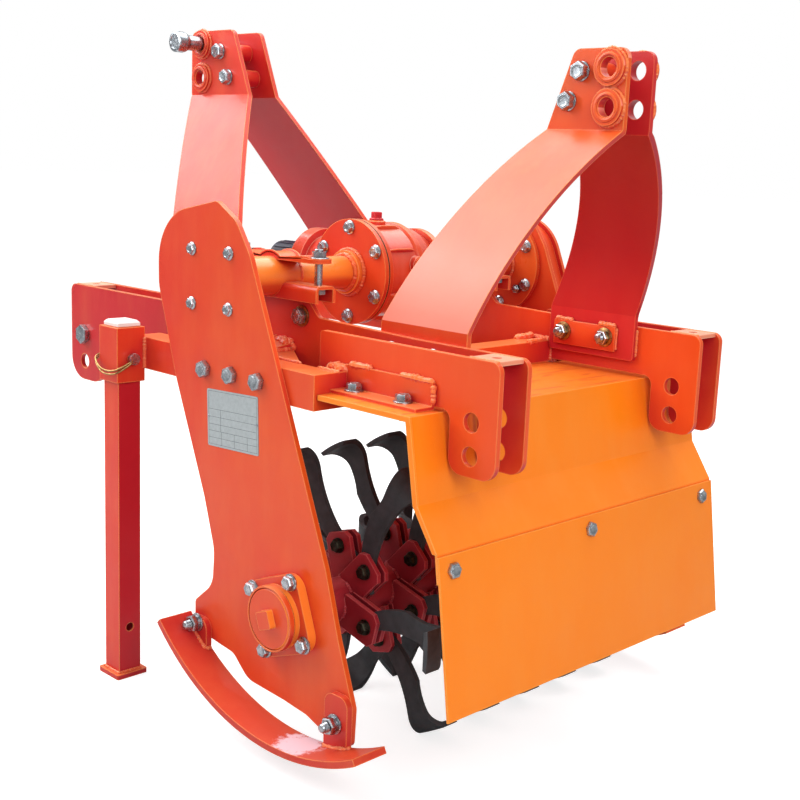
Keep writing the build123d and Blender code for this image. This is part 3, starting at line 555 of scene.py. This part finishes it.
def name_plate():
    """Blank ruled plate, stuck on slightly askew and held by two rivets."""
    middle = Vector((plate_face, gear_y - 0.0576, gear_z - 0.200945))
    width, height, askew = 0.119, 0.085, radians(2.8)
    rear = Vector((0, -cos(askew), sin(askew)))
    up = Vector((0, sin(askew), cos(askew)))
    lift, film, line = 0.0007, 0.0001, 0.0005  # of the ruling: off the plate's back, thickness, width

    def spot(u, v, out=0.0):
        return middle + rear * u + up * v + LEFT * out

    def rule(u0, v0, u1, v1):
        corners = [(u0, v0), (u1, v0), (u1, v1), (u0, v1)]
        lines.slab(corners, lambda u, v: spot(u, v, lift), LEFT * film)

    sheet, lines, rivets = Form(), Form(), Form()
    w, h, r = width / 2, height / 2, 0.003
    corner = [(r * cos(a), r * sin(a)) for a in (0, pi / 8, pi / 4, 3 * pi / 8, pi / 2)]
    edge = []
    for su, sv in ((1, 1), (-1, 1), (-1, -1), (1, -1)):
        arc = [(su * (w - r + cu), sv * (h - r + cv)) for cu, cv in corner]
        edge += arc if su * sv > 0 else arc[::-1]
    sheet.slab(edge, lambda u, v: spot(u, v, -0.0002), LEFT * 0.0009)
    sheet.place("name_plate", "plate")
    side, end = w - 0.003, h - 0.003
    rows = (0.0130, 0.0015, -0.0095, -0.0195, -0.0295)
    for v in (end, *rows, -end):
        rule(-side, v, side, v + line)
    for u in (-side, side - line):
        rule(u, -end, u + line, end)
    rule(-0.028, rows[3], -0.028 + line, rows[0])
    for u in (-0.026, 0.004, 0.034):
        rule(u, -end, u + line, rows[3])
    lines.place("name_plate_ruling", "ruling")
    for u in (-w + 0.0035, w - 0.0035):
        dome = [(0.0024, 0), (0.0023, 0.0014), (0.0014, 0.0021), (0, 0.0023)]
        rivets.lathe(spot(u, 0.002), LEFT, dome, 16)
    rivets.place("name_plate_rivets", "zinc")


name_plate()

# ---- Bearing housing ----

cap_face = low["bearing_housing"][0] + 0.010
bearing_flange = plate_face - 0.014

bolt_ring("bearing_bolts", bearing_flange, rotor_axis.yz, 0.0625, 24, 4, 0.0185, 0.008, washer=0.0125)

form = Form()
cap_rim = [(0.0445, 0.0), (0.0468, 0.0), (0.0474, -0.0012), (0.0474, -0.0085), (0.0445, -0.0085)]
form.lathe((cap_face, *rotor_axis.yz), LEFT, cap_rim, 64, closed=True)
form.place("bearing_cap_rim", "enamel")

form = Form()
seam = [(0.045, 0), (0.0465, 0), (0.0465, 0.0012), (0.045, 0.0012)]
form.lathe((cap_face + 0.0085, *rotor_axis.yz), X, seam, 64, closed=True)
form.place("bearing_seam", "seal")

# ---- Skids ----

sole_radius = 0.380
sole_y, sole_z = rotor_axis.y - 0.032, rotor_axis.z - 0.176 + sole_radius
lug_face = plate_face - 0.010
# Each lug's rear edge, front edge and bolt along Y, and the bolt's height, from the rotor's axis
lugs = ((0.173, 0.217, 0.195, -0.068), (-0.143, -0.097, -0.119, -0.120))


def skid_top(y):
    """Height of the skid's upper face, 10 mm above the sole."""
    return sole_z - sqrt((sole_radius - 0.010) ** 2 - (y - sole_y) ** 2)


form, heads, beads = Form(), Form(), Form()
for turn, lug in enumerate(lugs):
    y0, y1, bolt_y = [rotor_axis.y + y for y in lug[:3]]
    bolt_z = rotor_axis.z + lug[3]
    place = (lug_face, bolt_y, bolt_z)
    form.nut(place, LEFT, 0.0225, 0.010, 0.0075, 0.0072, 0.0142, turn + 0.3, spring=True, dome=True)
    heads.bolt((plate_face + 0.008, bolt_y, bolt_z), X, 0.0215, 0.009, washer=0.013, turn=turn)
    along = [y0 + (y1 - y0) * i / 8 for i in range(9)]
    beads.weld([(lug_face - 0.001, y, skid_top(y)) for y in along], 0.0040, 11 + turn)
    for seed, y, out in ((21 + turn, y0, -0.001), (31 + turn, y1, 0.001)):
        ends = [(lug_face + 0.009, y + out, skid_top(y)), (lug_face, y + out, skid_top(y))]
        beads.weld(ends, 0.0035, seed)
form.mirrored().place("skid_nuts", "zinc")
beads.mirrored().place("skid_welds", "weld")
heads.mirrored().place("skid_bolt_heads", "zinc")

# ---- Masts ----

top_face = high["mast_rear_spacers"][0]  # outer face of a mast's top plate
foot_face = high["mast_rear_right_strap"][0] - 0.008  # inner face of a mast's foot
plate_outer = high["beam_right_long_plate"][0]
rear_edge = low["mast_rear_left_strap"][1]  # rearmost edge of the rear mast
front_edge = high["mast_front_left_strap"][1]  # foremost edge of the front mast
link_pin = (low["top_link_pin"] + high["top_link_pin"]) / 2
collar_names = ("rear_mast_upper", "rear_mast_lower", "front_mast_lower")
collars = [Vector(mounts[name]["pos_m"]).yz for name in collar_names] + [link_pin.yz]
mast_bolts = (  # (y, z) on the rear mast and on the front mast
    ((rear_edge + 0.073, beam_top + 0.3645), (rear_edge + 0.092, beam_top + 0.3255)),
    ((front_edge - 0.084, beam_top + 0.4115), (front_edge - 0.107, beam_top + 0.3675)),
)
rear_foot, front_foot = high["mast_rear_left_strap"][1], low["mast_front_left_strap"][1]
foot_bolts = ((rear_foot - 0.112, rear_foot - 0.031), (front_foot + 0.046, front_foot + 0.136))
foot_bolt_z = beam_top - 0.021345

form, beads = Form(), Form()
for seed, (y, z) in enumerate(collars):
    lip = [(0.0142, 0.0060), (0.0148, 0.0084), (0.0164, 0.0092), (0.0190, 0.0088), (0.0204, 0.0060)]
    form.lathe((-top_face, y, z), LEFT, lip, 48, closed=True)
    ring = circle((-top_face - 0.0006, y, z), X, 0.0246, 48)
    beads.weld(ring, 0.0027, 41 + seed, closed=True)
form.mirrored().place("mast_collar_lips", "enamel")
beads.mirrored().place("mast_collar_welds", "weld")

heads, nuts = Form(), Form()
for places in mast_bolts:
    for turn, (y, z) in enumerate(places):
        heads.bolt((-top_face, y, z), LEFT, 0.0225, 0.0105, washer=0.0132, turn=0.5 + turn)
        nuts.nut((top_face, y, z), X, 0.0225, 0.012, 0.006, 0.0075, washer=0.0135, turn=turn)
heads.place("mast_bolt_heads", "zinc")
nuts.place("mast_bolt_nuts", "zinc")

pads, beads, heads, nuts, washers = Form(), Form(), Form(), Form(), Form()
z = foot_bolt_z
for mast, bolts in enumerate(foot_bolts):
    y0, y1 = bolts[0] - 0.019, bolts[1] + 0.019
    seed = 51 + 4 * mast
    pads.block((foot_face - 0.005, y0, z - 0.021), (foot_face + 0.0005, y1, z + 0.018), 0.0012)
    for k, (a, b) in enumerate(((y0 + 0.001, y0 + 0.034), (y1 - 0.036, y1 - 0.002))):
        over = [(foot_face - 0.0015, a, z + 0.019), (foot_face - 0.0015, b, z + 0.0195)]
        beads.weld(over, 0.0042, seed + k)
    beads.weld([(foot_face - 0.001, y0, z - 0.018), (foot_face - 0.001, y0, z + 0.016)], 0.0025, seed + 2)
    for turn, y in enumerate(bolts):
        washers.lathe((foot_face - 0.005, y, z), LEFT, washer_outline(0.0150, 0.0142, 0.0023, 0.0005))
        nuts.nut((foot_face - 0.0072, y, z), LEFT, 0.0205, 0.011, 0.005, 0.0068, turn=turn)
        heads.bolt((plate_outer, y, z), X, 0.0205, 0.009, washer=0.013, turn=turn)
pads.mirrored().place("mast_foot_pads", "enamel")
beads.mirrored().place("mast_foot_welds", "weld")
washers.mirrored().place("mast_foot_washers", "gold")
nuts.mirrored().place("mast_foot_nuts", "zinc")
heads.mirrored().place("mast_foot_bolt_heads", "zinc")

form = Form()
pin_left = low["top_link_pin"][0]
end = [(0.0178, 0), (0.0172, 0.0022), (0.0125, 0.0030), (0.0118, 0.0012), (0, 0.0012)]
form.lathe((pin_left + 0.0005, *link_pin.yz), LEFT, end, 32)
collar = [(0.0125, 0), (0.0178, 0), (0.0162, 0.0045), (0.0134, 0.009), (0.0125, 0.009)]
form.lathe((pin_left + 0.0145, *link_pin.yz), X, collar, 32, closed=True)
form.place("top_link_pin_end", "zinc")

# ---- Raised stretch of the beams ----

heads, washers, nuts = Form(), Form(), Form()
z = beam_top + 0.004055
for turn, y in enumerate((gear_y - 0.059, gear_y + 0.059)):
    washers.lathe((-plate_outer, y, z), LEFT, washer_outline(0.0160, 0.0150, 0.0024, 0.0006))
    heads.bolt((-plate_outer - 0.0022, y, z), LEFT, 0.0225, 0.010, turn=0.2 + turn)
    nuts.nut((-plate_outer + 0.008, y, z), X, 0.0215, 0.011, 0.005, 0.007, washer=0.0135, turn=turn)
washers.mirrored().place("beam_bolt_washers", "gold")
heads.mirrored().place("beam_bolt_heads", "zinc")
nuts.mirrored().place("beam_bolt_nuts", "zinc")

# ---- Gearbox ----

cover_face = low["gearbox_cover"][0]
seat = cover_face + 0.008  # where the cover meets the housing
gear_axis = (gear_y, gear_z)

bolt_ring("gearbox_cover_bolts", cover_face, gear_axis, 0.0705, 29, 6, 0.0165, 0.0075, flange=True)

form = Form()
gasket = [(0.074, 0), (0.0842, 0), (0.0842, 0.0020), (0.074, 0.0020)]
form.lathe((seat, *gear_axis), X, gasket, 72, closed=True)
form.place("gearbox_gasket", "seal")

form = Form()
flange = [(0.074, 0.0016), (0.0830, 0.0016), (0.0838, 0.0026), (0.0838, 0.0100)]
flange += [(0.0822, 0.0118), (0.0765, 0.0130), (0.074, 0.0165)]
form.lathe((seat, *gear_axis), X, flange, 72, closed=True)
band = [(0.072, 0.071), (0.0752, 0.0725), (0.0782, 0.0765)]
band += [(0.0782, 0.0865), (0.0745, 0.0905), (0.070, 0.092)]
form.lathe((seat, *gear_axis), X, band, 72, closed=True)
form.place("gearbox_flanges", "enamel")

# Ribs along the barrel, drawn in at their ends and rounded along their crests
form = Form()
barrel, rib_height, rib_length, half_thick = 0.0745, 0.006, 0.062, 0.0025
for angle in (62, 112, 150, 205, 262, 330):
    out = Vector((0, cos(radians(angle)), sin(radians(angle))))
    across = X.cross(out)
    rings = []
    for t in [i / 10 for i in range(11)]:
        crest = barrel + rib_height * min(1.0, 4 * t, 4 * (1 - t)) ** 0.6
        base = Vector((seat + 0.012 + rib_length * t, gear_y, gear_z))
        half = ((crest, 0.35), (crest - 0.0012, 0.75), (barrel - 0.004, 1.5))
        section = [(r, -side) for r, side in half[::-1]] + list(half)
        rings.append([base + out * r + across * (side * half_thick) for r, side in section])
    form.rings(rings)
boss = [(0.0152, -0.008), (0.0150, 0.0), (0.0120, 0.0018), (0, 0.0018)]
form.lathe((0, gear_y, gear_z + 0.0795), Z, boss, 28)
form.place("gearbox_ribs", "enamel")

form = Form()
plug_place = (seat + 0.071, gear_y - 0.081, gear_z + 0.014)
form.hexagon(plug_place, REAR, 0.0190, 0.009, 0.3)
form.lathe(plug_place, REAR, [(0.0138, -0.001), (0.0138, 0.0022), (0.0126, 0.003), (0, 0.003)], 28)
form.place("gearbox_side_plug", "enamel")

form = Form()
form.lathe((0, gear_y, gear_z + 0.0805), Z, [(0.0115, 0), (0.0115, 0.003), (0.0105, 0.004), (0, 0.004)], 28)
head = [(0.0092, 0), (0.0092, 0.0095), (0.0084, 0.0105), (0, 0.0105)]
form.lathe((0, gear_y, gear_z + 0.084), Z, head, 4, 0.5)
form.place("gearbox_filler_plug", "plug")

form = Form()
neck_face = gear_y + 0.145
for k in range(6):
    a = radians(30 + 60 * k)
    form.bolt((0.049 * cos(a), neck_face, gear_z + 0.049 * sin(a)), Y, 0.0125, 0.006, turn=k, flange=True)
form.place("neck_bolts", "zinc")

form = Form()
lip = [(0.0178, -0.001), (0.0178, 0.0015), (0.0255, 0.0030), (0.0285, 0.0015), (0.0285, -0.001)]
form.lathe((0, neck_face, gear_z), Y, lip, 48, closed=True)
form.place("neck_seal", "seal")

cap_start, cap_end = low["pto_cap"][1], high["pto_cap"][1]
form = Form()
collar = [(0.0305, 0), (0.0335, 0), (0.0340, 0.001), (0.0340, 0.0048), (0.0330, 0.006), (0.0305, 0.006)]
form.lathe((0, cap_start + 0.0002, gear_z), Y, collar, 48, closed=True)
ridges, ridge_radius = 16, 0.0309
stops = (cap_start + 0.012, cap_start + 0.016, cap_end - 0.014, cap_end - 0.008)
for k in range(ridges):
    a = 2 * pi * k / ridges
    spine = Vector((ridge_radius * cos(a), 0, gear_z + ridge_radius * sin(a)))
    form.tube([spine + Y * y for y in stops], [0.0006, 0.0016, 0.0016, 0.0006], 8)
form.place("pto_cap_grip", "navy", "pto_shaft")

right_flange = high["cross_tube_right"][0] - 0.008  # inner face of the right tube's round flange
bolt_ring("tube_flange_bolts_right", right_flange, gear_axis, 0.0680, 28, 6, 0.0165, 0.0075, flange=True)

form = Form()
rings = (  # along X, radius, half width of the bead
    (flange_face + 0.0005, 0.0312, 0.0034), (strap_middle + 0.0195, 0.0278, 0.0034),
    (cover_face - 0.0115, 0.0275, 0.0040), (cover_face - 0.0008, 0.0358, 0.0034),
    (right_flange - 0.0005, 0.0312, 0.0034), (high["gearbox_housing"][0] + 0.0115, 0.0318, 0.0040),
)
for seed, (x, radius, bead) in enumerate(rings):
    form.weld(circle((x, *gear_axis), X, radius, 72), bead, 61 + seed, closed=True)
form.place("cross_tube_welds", "weld")

# ---- Clamp straps ----

strap_end = low["clamp_straps"][2] + 0.007  # upper face of the flat ends


def strap_line():
    """Upper face of the left strap: (y, z, outward y, outward z) from one end to the other."""
    radius = 0.037
    shoulder = radians(52)
    line = [(0.098, strap_end - gear_z, 0, 1), (0.072, strap_end - gear_z, 0, 1)]
    for i in range(9):
        a = shoulder + (pi - 2 * shoulder) * i / 8
        line.append((radius * cos(a), radius * sin(a), cos(a), sin(a)))
    line += [(-y, z, -ny, nz) for y, z, ny, nz in line[1::-1]]
    return [(gear_y + y, gear_z + z, ny, nz) for y, z, ny, nz in line]


form = Form()
for side in (-1, 1):
    rings = []
    inward = -side * 0.0034
    line = strap_line()
    for i, (y, z, ny, nz) in enumerate(line):
        at_end = i in (0, len(line) - 1)
        crest, narrow = (0.0006, 0.008) if at_end else (0.0030, 0.0)
        foot = -0.0015
        x = strap_middle + side * (0.020 - narrow)
        corners = ((0, foot), (0, crest), (inward * 0.6, crest), (inward, foot))
        rings.append([Vector((x + across, y + ny * up, z + nz * up)) for across, up in corners])
    form.rings(rings)
form.mirrored().place("clamp_strap_rims", "enamel")

form = Form()
for y in (gear_y - 0.089, gear_y + 0.089):
    thread = [(0.0066, 0), (0.0066, 0.0030), (0.0057, 0.0042), (0, 0.0042)]
    form.lathe((strap_middle, y, high["clamp_bolts"][2] - 0.0005), Z, thread, 20)
    washer = [(0.0150, -0.0004), (0.0150, 0.0012), (0.0142, 0.0018), (0.0125, 0.0018)]
    form.lathe((strap_middle, y, strap_end - 0.0002), Z, washer, 28)
form.mirrored().place("clamp_bolt_ends", "zinc")

# ---- Hood and trailing board ----

hood_top = high["hood"][2]
angle_bolts = (high["hood_angles"][1] - 0.027, low["hood_angles"][1] + 0.042)
angle_middle = low["hood_angles"][0] + 0.0195

heads, nuts = Form(), Form()
for turn, y in enumerate(angle_bolts):
    heads.bolt((angle_middle, y, hood_top + 0.005), Z, 0.0195, 0.0085, washer=0.0132, turn=turn)
    nuts.nut((angle_middle, y, hood_top - 0.003), DOWN, 0.019, 0.010, 0.006, 0.006, turn=turn)
heads.mirrored().place("hood_bolts", "zinc")
nuts.mirrored().place("hood_nuts", "oiled")

board_top = Vector((0, high["trailing_board"][1], high["trailing_board"][2]))
board_foot = Vector((0, low["trailing_board"][1], low["trailing_board"][2]))
slope = (board_foot - board_top).normalized()
board_out = Vector((0, slope.z, -slope.y))
form, nuts = Form(), Form()
off_board = 0.0004 * (1 + board_out.z)
for turn, x in enumerate((low["trailing_board"][0] + 0.026, -0.004, high["trailing_board"][0] - 0.032)):
    face = X * x + board_top + slope * 0.021 + board_out * off_board
    form.bolt(face, board_out, 0.0195, 0.0075, turn=turn * 0.7)
    nuts.nut(face - board_out * 0.006, -board_out, 0.019, 0.010, 0.004, 0.006, washer=0.012)
form.place("board_bolts", "zinc")
nuts.place("board_nuts", "oiled")

# A strip over the cut edge of each hood side: (y from the rotor's axis, z from the hood's top)
form = Form()
outer = [(-0.0415, 0.0002), (-0.2158, 0.0002), (-0.2358, -0.1118), (-0.2728, -0.1668)]
inner = [(-0.2650, -0.1668), (-0.2275, -0.1128), (-0.2085, -0.0072), (-0.0415, -0.0072)]
side = low["hood"][0] - 0.0003
form.slab(outer + inner, lambda y, z: Vector((side, rotor_axis.y + y, hood_top + z)), X * 0.0032)
form.mirrored().place("hood_edges", "orange")

# ---- Frame welds ----

cheek = low["beam_cheeks_rear"][0] - 0.001  # outer face of the left cheeks
plate = -plate_outer - 0.001  # outer face of the left long plate
inner = high["beam_left_long_plate"][0]  # inner face of the left long plate
bar = bar_inner + 0.001
arm = 0.044  # width along Y of the side bar's arms, whose rear edges follow
rear_arm, middle_arm, front_arm = gear_y - 0.224, gear_y - 0.041, gear_y + 0.126
angle_rear, angle_front = low["hood_angles"][1], high["hood_angles"][1]
angle_top = hood_top + 0.037  # upper edge of the hood's angles
cross_rear = low["cross_member_rear"][1]
cross_front, cross_top = high["cross_member_rear"].yz
socket_side, socket_rear = high["stand_socket"][0] - 0.0005, low["stand_socket"][1] - 0.0005


def forward(x, y, z, run):
    """A seam straight forward from a point."""
    return [(x, y, z), (x, y + run, z)]


def upward(x, y, z, top):
    """A seam straight up from a point."""
    return [(x, y, z), (x, y, top)]


lines = [  # seam and radius of each bead
    # Hood's angle on the cheek
    (forward(cheek, angle_front - 0.004, angle_top, -0.043), 0.0055),
    ([(cheek, angle_rear + 0.062, angle_top), (cheek, angle_rear + 0.001, angle_top - 0.001)], 0.0052),
    (upward(cheek - 0.002, angle_rear - 0.0005, hood_top + 0.008, angle_top - 0.004), 0.0036),
    # Side bar's rear arm on the cheek
    (forward(cheek, rear_arm, bar_top, arm), 0.0085),
    ([(cheek - 0.013, rear_arm + 0.003, bar_top), (cheek, rear_arm + 0.024, bar_top + 0.003)], 0.0070),
    (upward(cheek, rear_arm - 0.0005, bar_low + 0.028, bar_top), 0.0036),
    (forward(bar_inner, rear_arm, bar_top - 0.0005, arm), 0.0032),
    # Front and middle arms on the long plate
    (forward(bar_inner, front_arm, bar_top - 0.0005, arm), 0.0032),
    (forward(plate, front_arm, bar_top, arm), 0.0045),
    (forward(plate, middle_arm, bar_top + 0.011, arm), 0.0068),
    ([(plate - 0.011, middle_arm + 0.002, bar_top + 0.008),
      (plate, middle_arm + 0.024, bar_top + 0.013)], 0.0070),
    (upward(plate, middle_arm - 0.001, bar_top - 0.002, bar_top + 0.010), 0.0045),
    (forward(bar, middle_arm - 0.101, bar_top, 0.099), 0.0034),
    ([(x, middle_arm - 0.0005, bar_top + 0.001) for x in (bar + 0.003, plate - 0.005)], 0.0040),
    # Stand's socket, and the rear cross member's top
    (upward(socket_side, socket_rear, bar_low, bar_top), 0.0036),
    ([(inner + 0.046, cross_front - 0.001, cross_top),
      (inner + 0.008, cross_front - 0.007, cross_top + 0.004)], 0.0060),
    ([(inner + 0.010, cross_rear + 0.005, cross_top),
      (inner + 0.056, cross_rear + 0.003, cross_top)], 0.0048),
]
for cross in ("cross_member_rear", "cross_member_front"):
    y0, z0 = low[cross].yz
    y1, z1 = high[cross].yz
    lines.append((forward(inner + 0.0015, y0, z1, y1 - y0), 0.0060))
    lines += [(upward(inner + 0.0005, y, z0, z1), 0.0032) for y in (y0, y1)]
foot_low = low["mast_rear_left_strap"][2] + 0.006
for y in (rear_foot - 0.163, rear_foot, front_foot, front_foot + 0.191):
    lines.append((upward(inner + 0.0005, y, foot_low, beam_top - 0.004), 0.0026))
beam_end = high["beam_left_long_plate"][1]
for end in (-1, 1):
    for x in (low["clevis_bridges"][0], -plate_outer):
        lines.append((forward(x, end * (beam_end - 0.008), beam_top - 0.0008, -end * 0.050), 0.0018))
form = Form()
for seed, (points, bead) in enumerate(lines):
    form.weld(points, bead, 101 + seed)
form.mirrored().place("frame_welds", "weld")

# ---- Parking stand ----

socket_low, socket_high = low["stand_socket"], high["stand_socket"]
stand_x = (socket_low[0] + socket_high[0]) / 2
stand_y = (socket_low[1] + socket_high[1]) / 2
pin_z = (low["stand_pin"][2] + high["stand_pin"][2]) / 2
pin_rear = low["stand_pin"][1]

form = Form()
end = [(0.0062, 0), (0.0062, 0.0120), (0.0050, 0.0140), (0, 0.0140)]
form.lathe((stand_x, socket_high[1] - 0.001, pin_z), Y, end, 24)
form.place("stand_pin_end", "zinc")


def hoop():
    """Two turns of spring wire from the pin's head, round the socket's corner, to its other end."""
    left, rear, front = socket_low[0], socket_low[1], socket_high[1]
    route = [
        (stand_x + 0.002, pin_rear + 0.003, pin_z + 0.001), (stand_x - 0.006, rear - 0.0125, pin_z - 0.004),
        (stand_x - 0.019, rear - 0.0075, pin_z - 0.0125), (left - 0.0035, rear - 0.0035, pin_z - 0.0185),
        (left - 0.0070, rear + 0.010, pin_z - 0.0215), (left - 0.0085, rear + 0.028, pin_z - 0.0215),
        (left - 0.0085, front - 0.010, pin_z - 0.0160), (left - 0.0065, front + 0.003, pin_z - 0.0075),
        (left - 0.0005, front + 0.0085, pin_z - 0.0010), (stand_x - 0.010, front + 0.0090, pin_z + 0.0015),
        (stand_x, front + 0.0080, pin_z + 0.001),
    ]
    form = Form()
    for lift, spread in ((0.0021, 0.00054), (-0.0021, -0.00054)):
        curve = bpy.data.curves.new("hoop_line", "CURVE")
        curve.dimensions = "3D"
        spline = curve.splines.new("NURBS")
        spline.points.add(len(route) - 1)
        for i, point in enumerate(route):
            swell = sin(pi * i / (len(route) - 1))
            x, y, z = point
            spline.points[i].co = (x - spread * swell, y, z + lift * (0.35 + swell), 1)
        spline.order_u = 4
        spline.use_endpoint_u = True
        curve.resolution_u = 8
        holder = bpy.data.objects.new("hoop_line", curve)
        line = bpy.data.meshes.new_from_object(holder)
        form.tube([v.co.copy() for v in line.vertices], 0.0015, 10)
        bpy.data.objects.remove(holder)
        bpy.data.curves.remove(curve)
        bpy.data.meshes.remove(line)
    eye = [(0.0040, 0), (0.0085, 0), (0.0085, 0.0035), (0.0040, 0.0035)]
    form.lathe((stand_x, pin_rear + 0.0052, pin_z), REAR, eye, 24, closed=True)
    form.place("stand_pin_hoop", "gold")


hoop()

form = Form()
foot_top, half = 0.0082, 0.0200  # upper face of the foot, half the tube's width
corners = [(stand_x + half * u, stand_y + half * v) for u, v in ((-1, -1), (1, -1), (1, 1), (-1, 1))]
form.weld([(x, y, foot_top) for x, y in corners], 0.0026, 91, closed=True)
form.place("stand_foot_weld", "weld", "stand")

# ---- Drive case ----

lid_face = high["drive_case_cover"][0]
top_radius, foot_radius = 0.0745, 0.0805  # of the row of bolts, round the tube and round the rotor
top_middle, foot_middle = Vector(gear_axis), rotor_axis.yz
run = foot_middle - top_middle
lean = asin((foot_radius - top_radius) / run.length)
along = atan2(run.y, run.x)


def ring_spot(middle, radius, angle):
    """A point (y, z) on the bolt row, at an angle in radians."""
    return middle + Vector((cos(angle), sin(angle))) * radius


spots = []
for side in (-1, 1):
    normal = along + side * (pi / 2 + lean)
    at_top = ring_spot(top_middle, top_radius, normal)
    at_foot = ring_spot(foot_middle, foot_radius, normal)
    spots += [at_top.lerp(at_foot, t) for t in (0.0, 0.25, 0.5, 0.75, 1.0)]
for angle in (-50, 0, 50):
    spots.append(ring_spot(top_middle, top_radius, along + pi + radians(angle)))
    spots.append(ring_spot(foot_middle, foot_radius, along + radians(angle)))
form = Form()
for turn, spot in enumerate(spots):
    form.bolt((lid_face, *spot), X, 0.013, 0.006, turn=turn, flange=True)
form.place("drive_case_bolts", "zinc")

form = Form()
for t, across in ((0.16, 0.024), (0.88, 0.020)):
    place = (lid_face, *top_middle.lerp(foot_middle, t))
    skirt = across * 0.72
    form.lathe(place, X, [(skirt, -SINK), (skirt, 0.0035), (across * 0.66, 0.0045), (0, 0.0045)], 32)
    form.hexagon(place, X, across, 0.012, t)
form.place("drive_case_plugs", "enamel")

# ---- Rotor ----

blades = 30
blade_step = 0.097 / 6  # along X; each blade is turned 60 degrees from the last
bolts, nuts, beads = Form(), Form(), Form()
for number in range(blades):
    x = (number - (blades - 1) / 2) * blade_step
    angle = radians(30 - (number + 2) * 60 + 14)
    out = Vector((0, sin(angle), -cos(angle)))
    across = X.cross(out)
    seat = rotor_axis + out * 0.076
    bolts.bolt(seat + X * (x - 0.011), LEFT, 0.0175, 0.0075, washer=0.0115, turn=number)
    nuts.nut(seat + X * (x + 0.011), X, 0.0175, 0.010, 0.003, 0.0055, washer=0.0115, turn=number)
    for k, side in enumerate((-1, 1)):
        foot = rotor_axis + X * (x + side * 0.0118) + out * 0.0325
        line = [foot + across * w - out * drop for w, drop in ((-0.010, 0.0016), (0, 0), (0.010, 0.0016))]
        beads.weld(line, 0.0030, 201 + 2 * number + k)
bolts.place("blade_bolts", "oiled", "rotor")
nuts.place("blade_nuts", "oiled", "rotor")
beads.place("holder_welds", "dark_red", "rotor")


# ---- Stage, light and camera ----

def backdrop(albedo, fill):
    """A floor that keeps the shadow; the fill, seen by the camera only, lifts its open part to white."""
    mesh = bpy.data.meshes.new("floor")
    size = 30.0
    corners = [(-size, -size, 0), (size, -size, 0), (size, size, 0), (-size, size, 0)]
    mesh.from_pydata(corners, [], [(0, 1, 2, 3)])
    s = Shader("floor_white")
    to_camera = s.math("MULTIPLY", s.node("ShaderNodeLightPath").outputs["Is Camera Ray"], fill)
    inputs = {"Base Color": (albedo, albedo, albedo, 1), "Roughness": 0.9, "Specular IOR Level": 0.0}
    wire(s.tree, s.bsdf, {**inputs, "Emission Color": (1, 1, 1, 1), "Emission Strength": to_camera})
    mesh.materials.append(s.material)
    add_object("floor", mesh)


def world_light(horizon, zenith):
    """White to the camera; for light and reflections a room that is brighter overhead."""
    world = bpy.data.worlds.new("studio")
    bpy.context.scene.world = world
    world.use_nodes = True
    tree = world.node_tree
    way = add_node(tree, "ShaderNodeTexCoord").outputs["Generated"]
    rise = add_node(tree, "ShaderNodeSeparateXYZ", {0: way}).outputs["Z"]
    room = add_node(tree, "ShaderNodeMapRange", {"Value": rise, "To Min": horizon, "To Max": zenith})
    to_camera = add_node(tree, "ShaderNodeLightPath").outputs["Is Camera Ray"]
    level = add_node(tree, "ShaderNodeMix", {0: to_camera, 2: room.outputs["Result"], 3: 1.0})
    wire(tree, tree.nodes["Background"], {"Color": (1, 1, 1, 1), "Strength": level.outputs[0]})


def lamp(name, place, target, size, power):
    """A rectangular lamp of that size in metres and power in watts, aimed at target."""
    light = bpy.data.lights.new(name, "AREA")
    light.shape = "RECTANGLE"
    light.size, light.size_y = size
    light.energy = power
    made = add_object(name, light)
    made.location = place
    made.rotation_euler = (Vector(target) - Vector(place)).to_track_quat("-Z", "Y").to_euler()


def photo_camera():
    """Behind and left of the machine, a little above it, tilted slightly clockwise."""
    turn, dip, roll = radians(45.4), radians(11.1), radians(2.3)
    ahead = Vector((sin(turn) * cos(dip), cos(turn) * cos(dip), -sin(dip)))
    side = Vector((cos(turn), -sin(turn), 0))
    up = side.cross(ahead)
    right = side * cos(roll) + up * sin(roll)
    top = up * cos(roll) - side * sin(roll)
    camera = bpy.data.cameras.new("camera")
    camera.lens = 56.38
    made = add_object("camera", camera)
    rotation = Matrix((right, top, -ahead)).transposed().to_4x4()
    made.matrix_world = Matrix.Translation((-1.4207, -1.4759, 0.8548)) @ rotation
    bpy.context.scene.camera = made


bpy.context.scene.view_settings.view_transform = "Standard"
backdrop(0.5, 0.74)
world_light(0.24, 0.8)
lamp("key", (-1.3, -2.9, 1.9), (0, -0.1, 0.5), (1.8, 1.8), 50)
lamp("top", (0.9, 0.1, 2.9), (0, 0, 0.5), (2.4, 2.4), 50)
lamp("back", (-0.9, 1.75, 2.6), (-0.1, -0.1, 0.75), (2.8, 2.4), 95)
lamp("low_back", (-1.9, 1.6, 1.6), (-0.15, -0.35, 0.70), (0.9, 0.9), 12)
photo_camera()
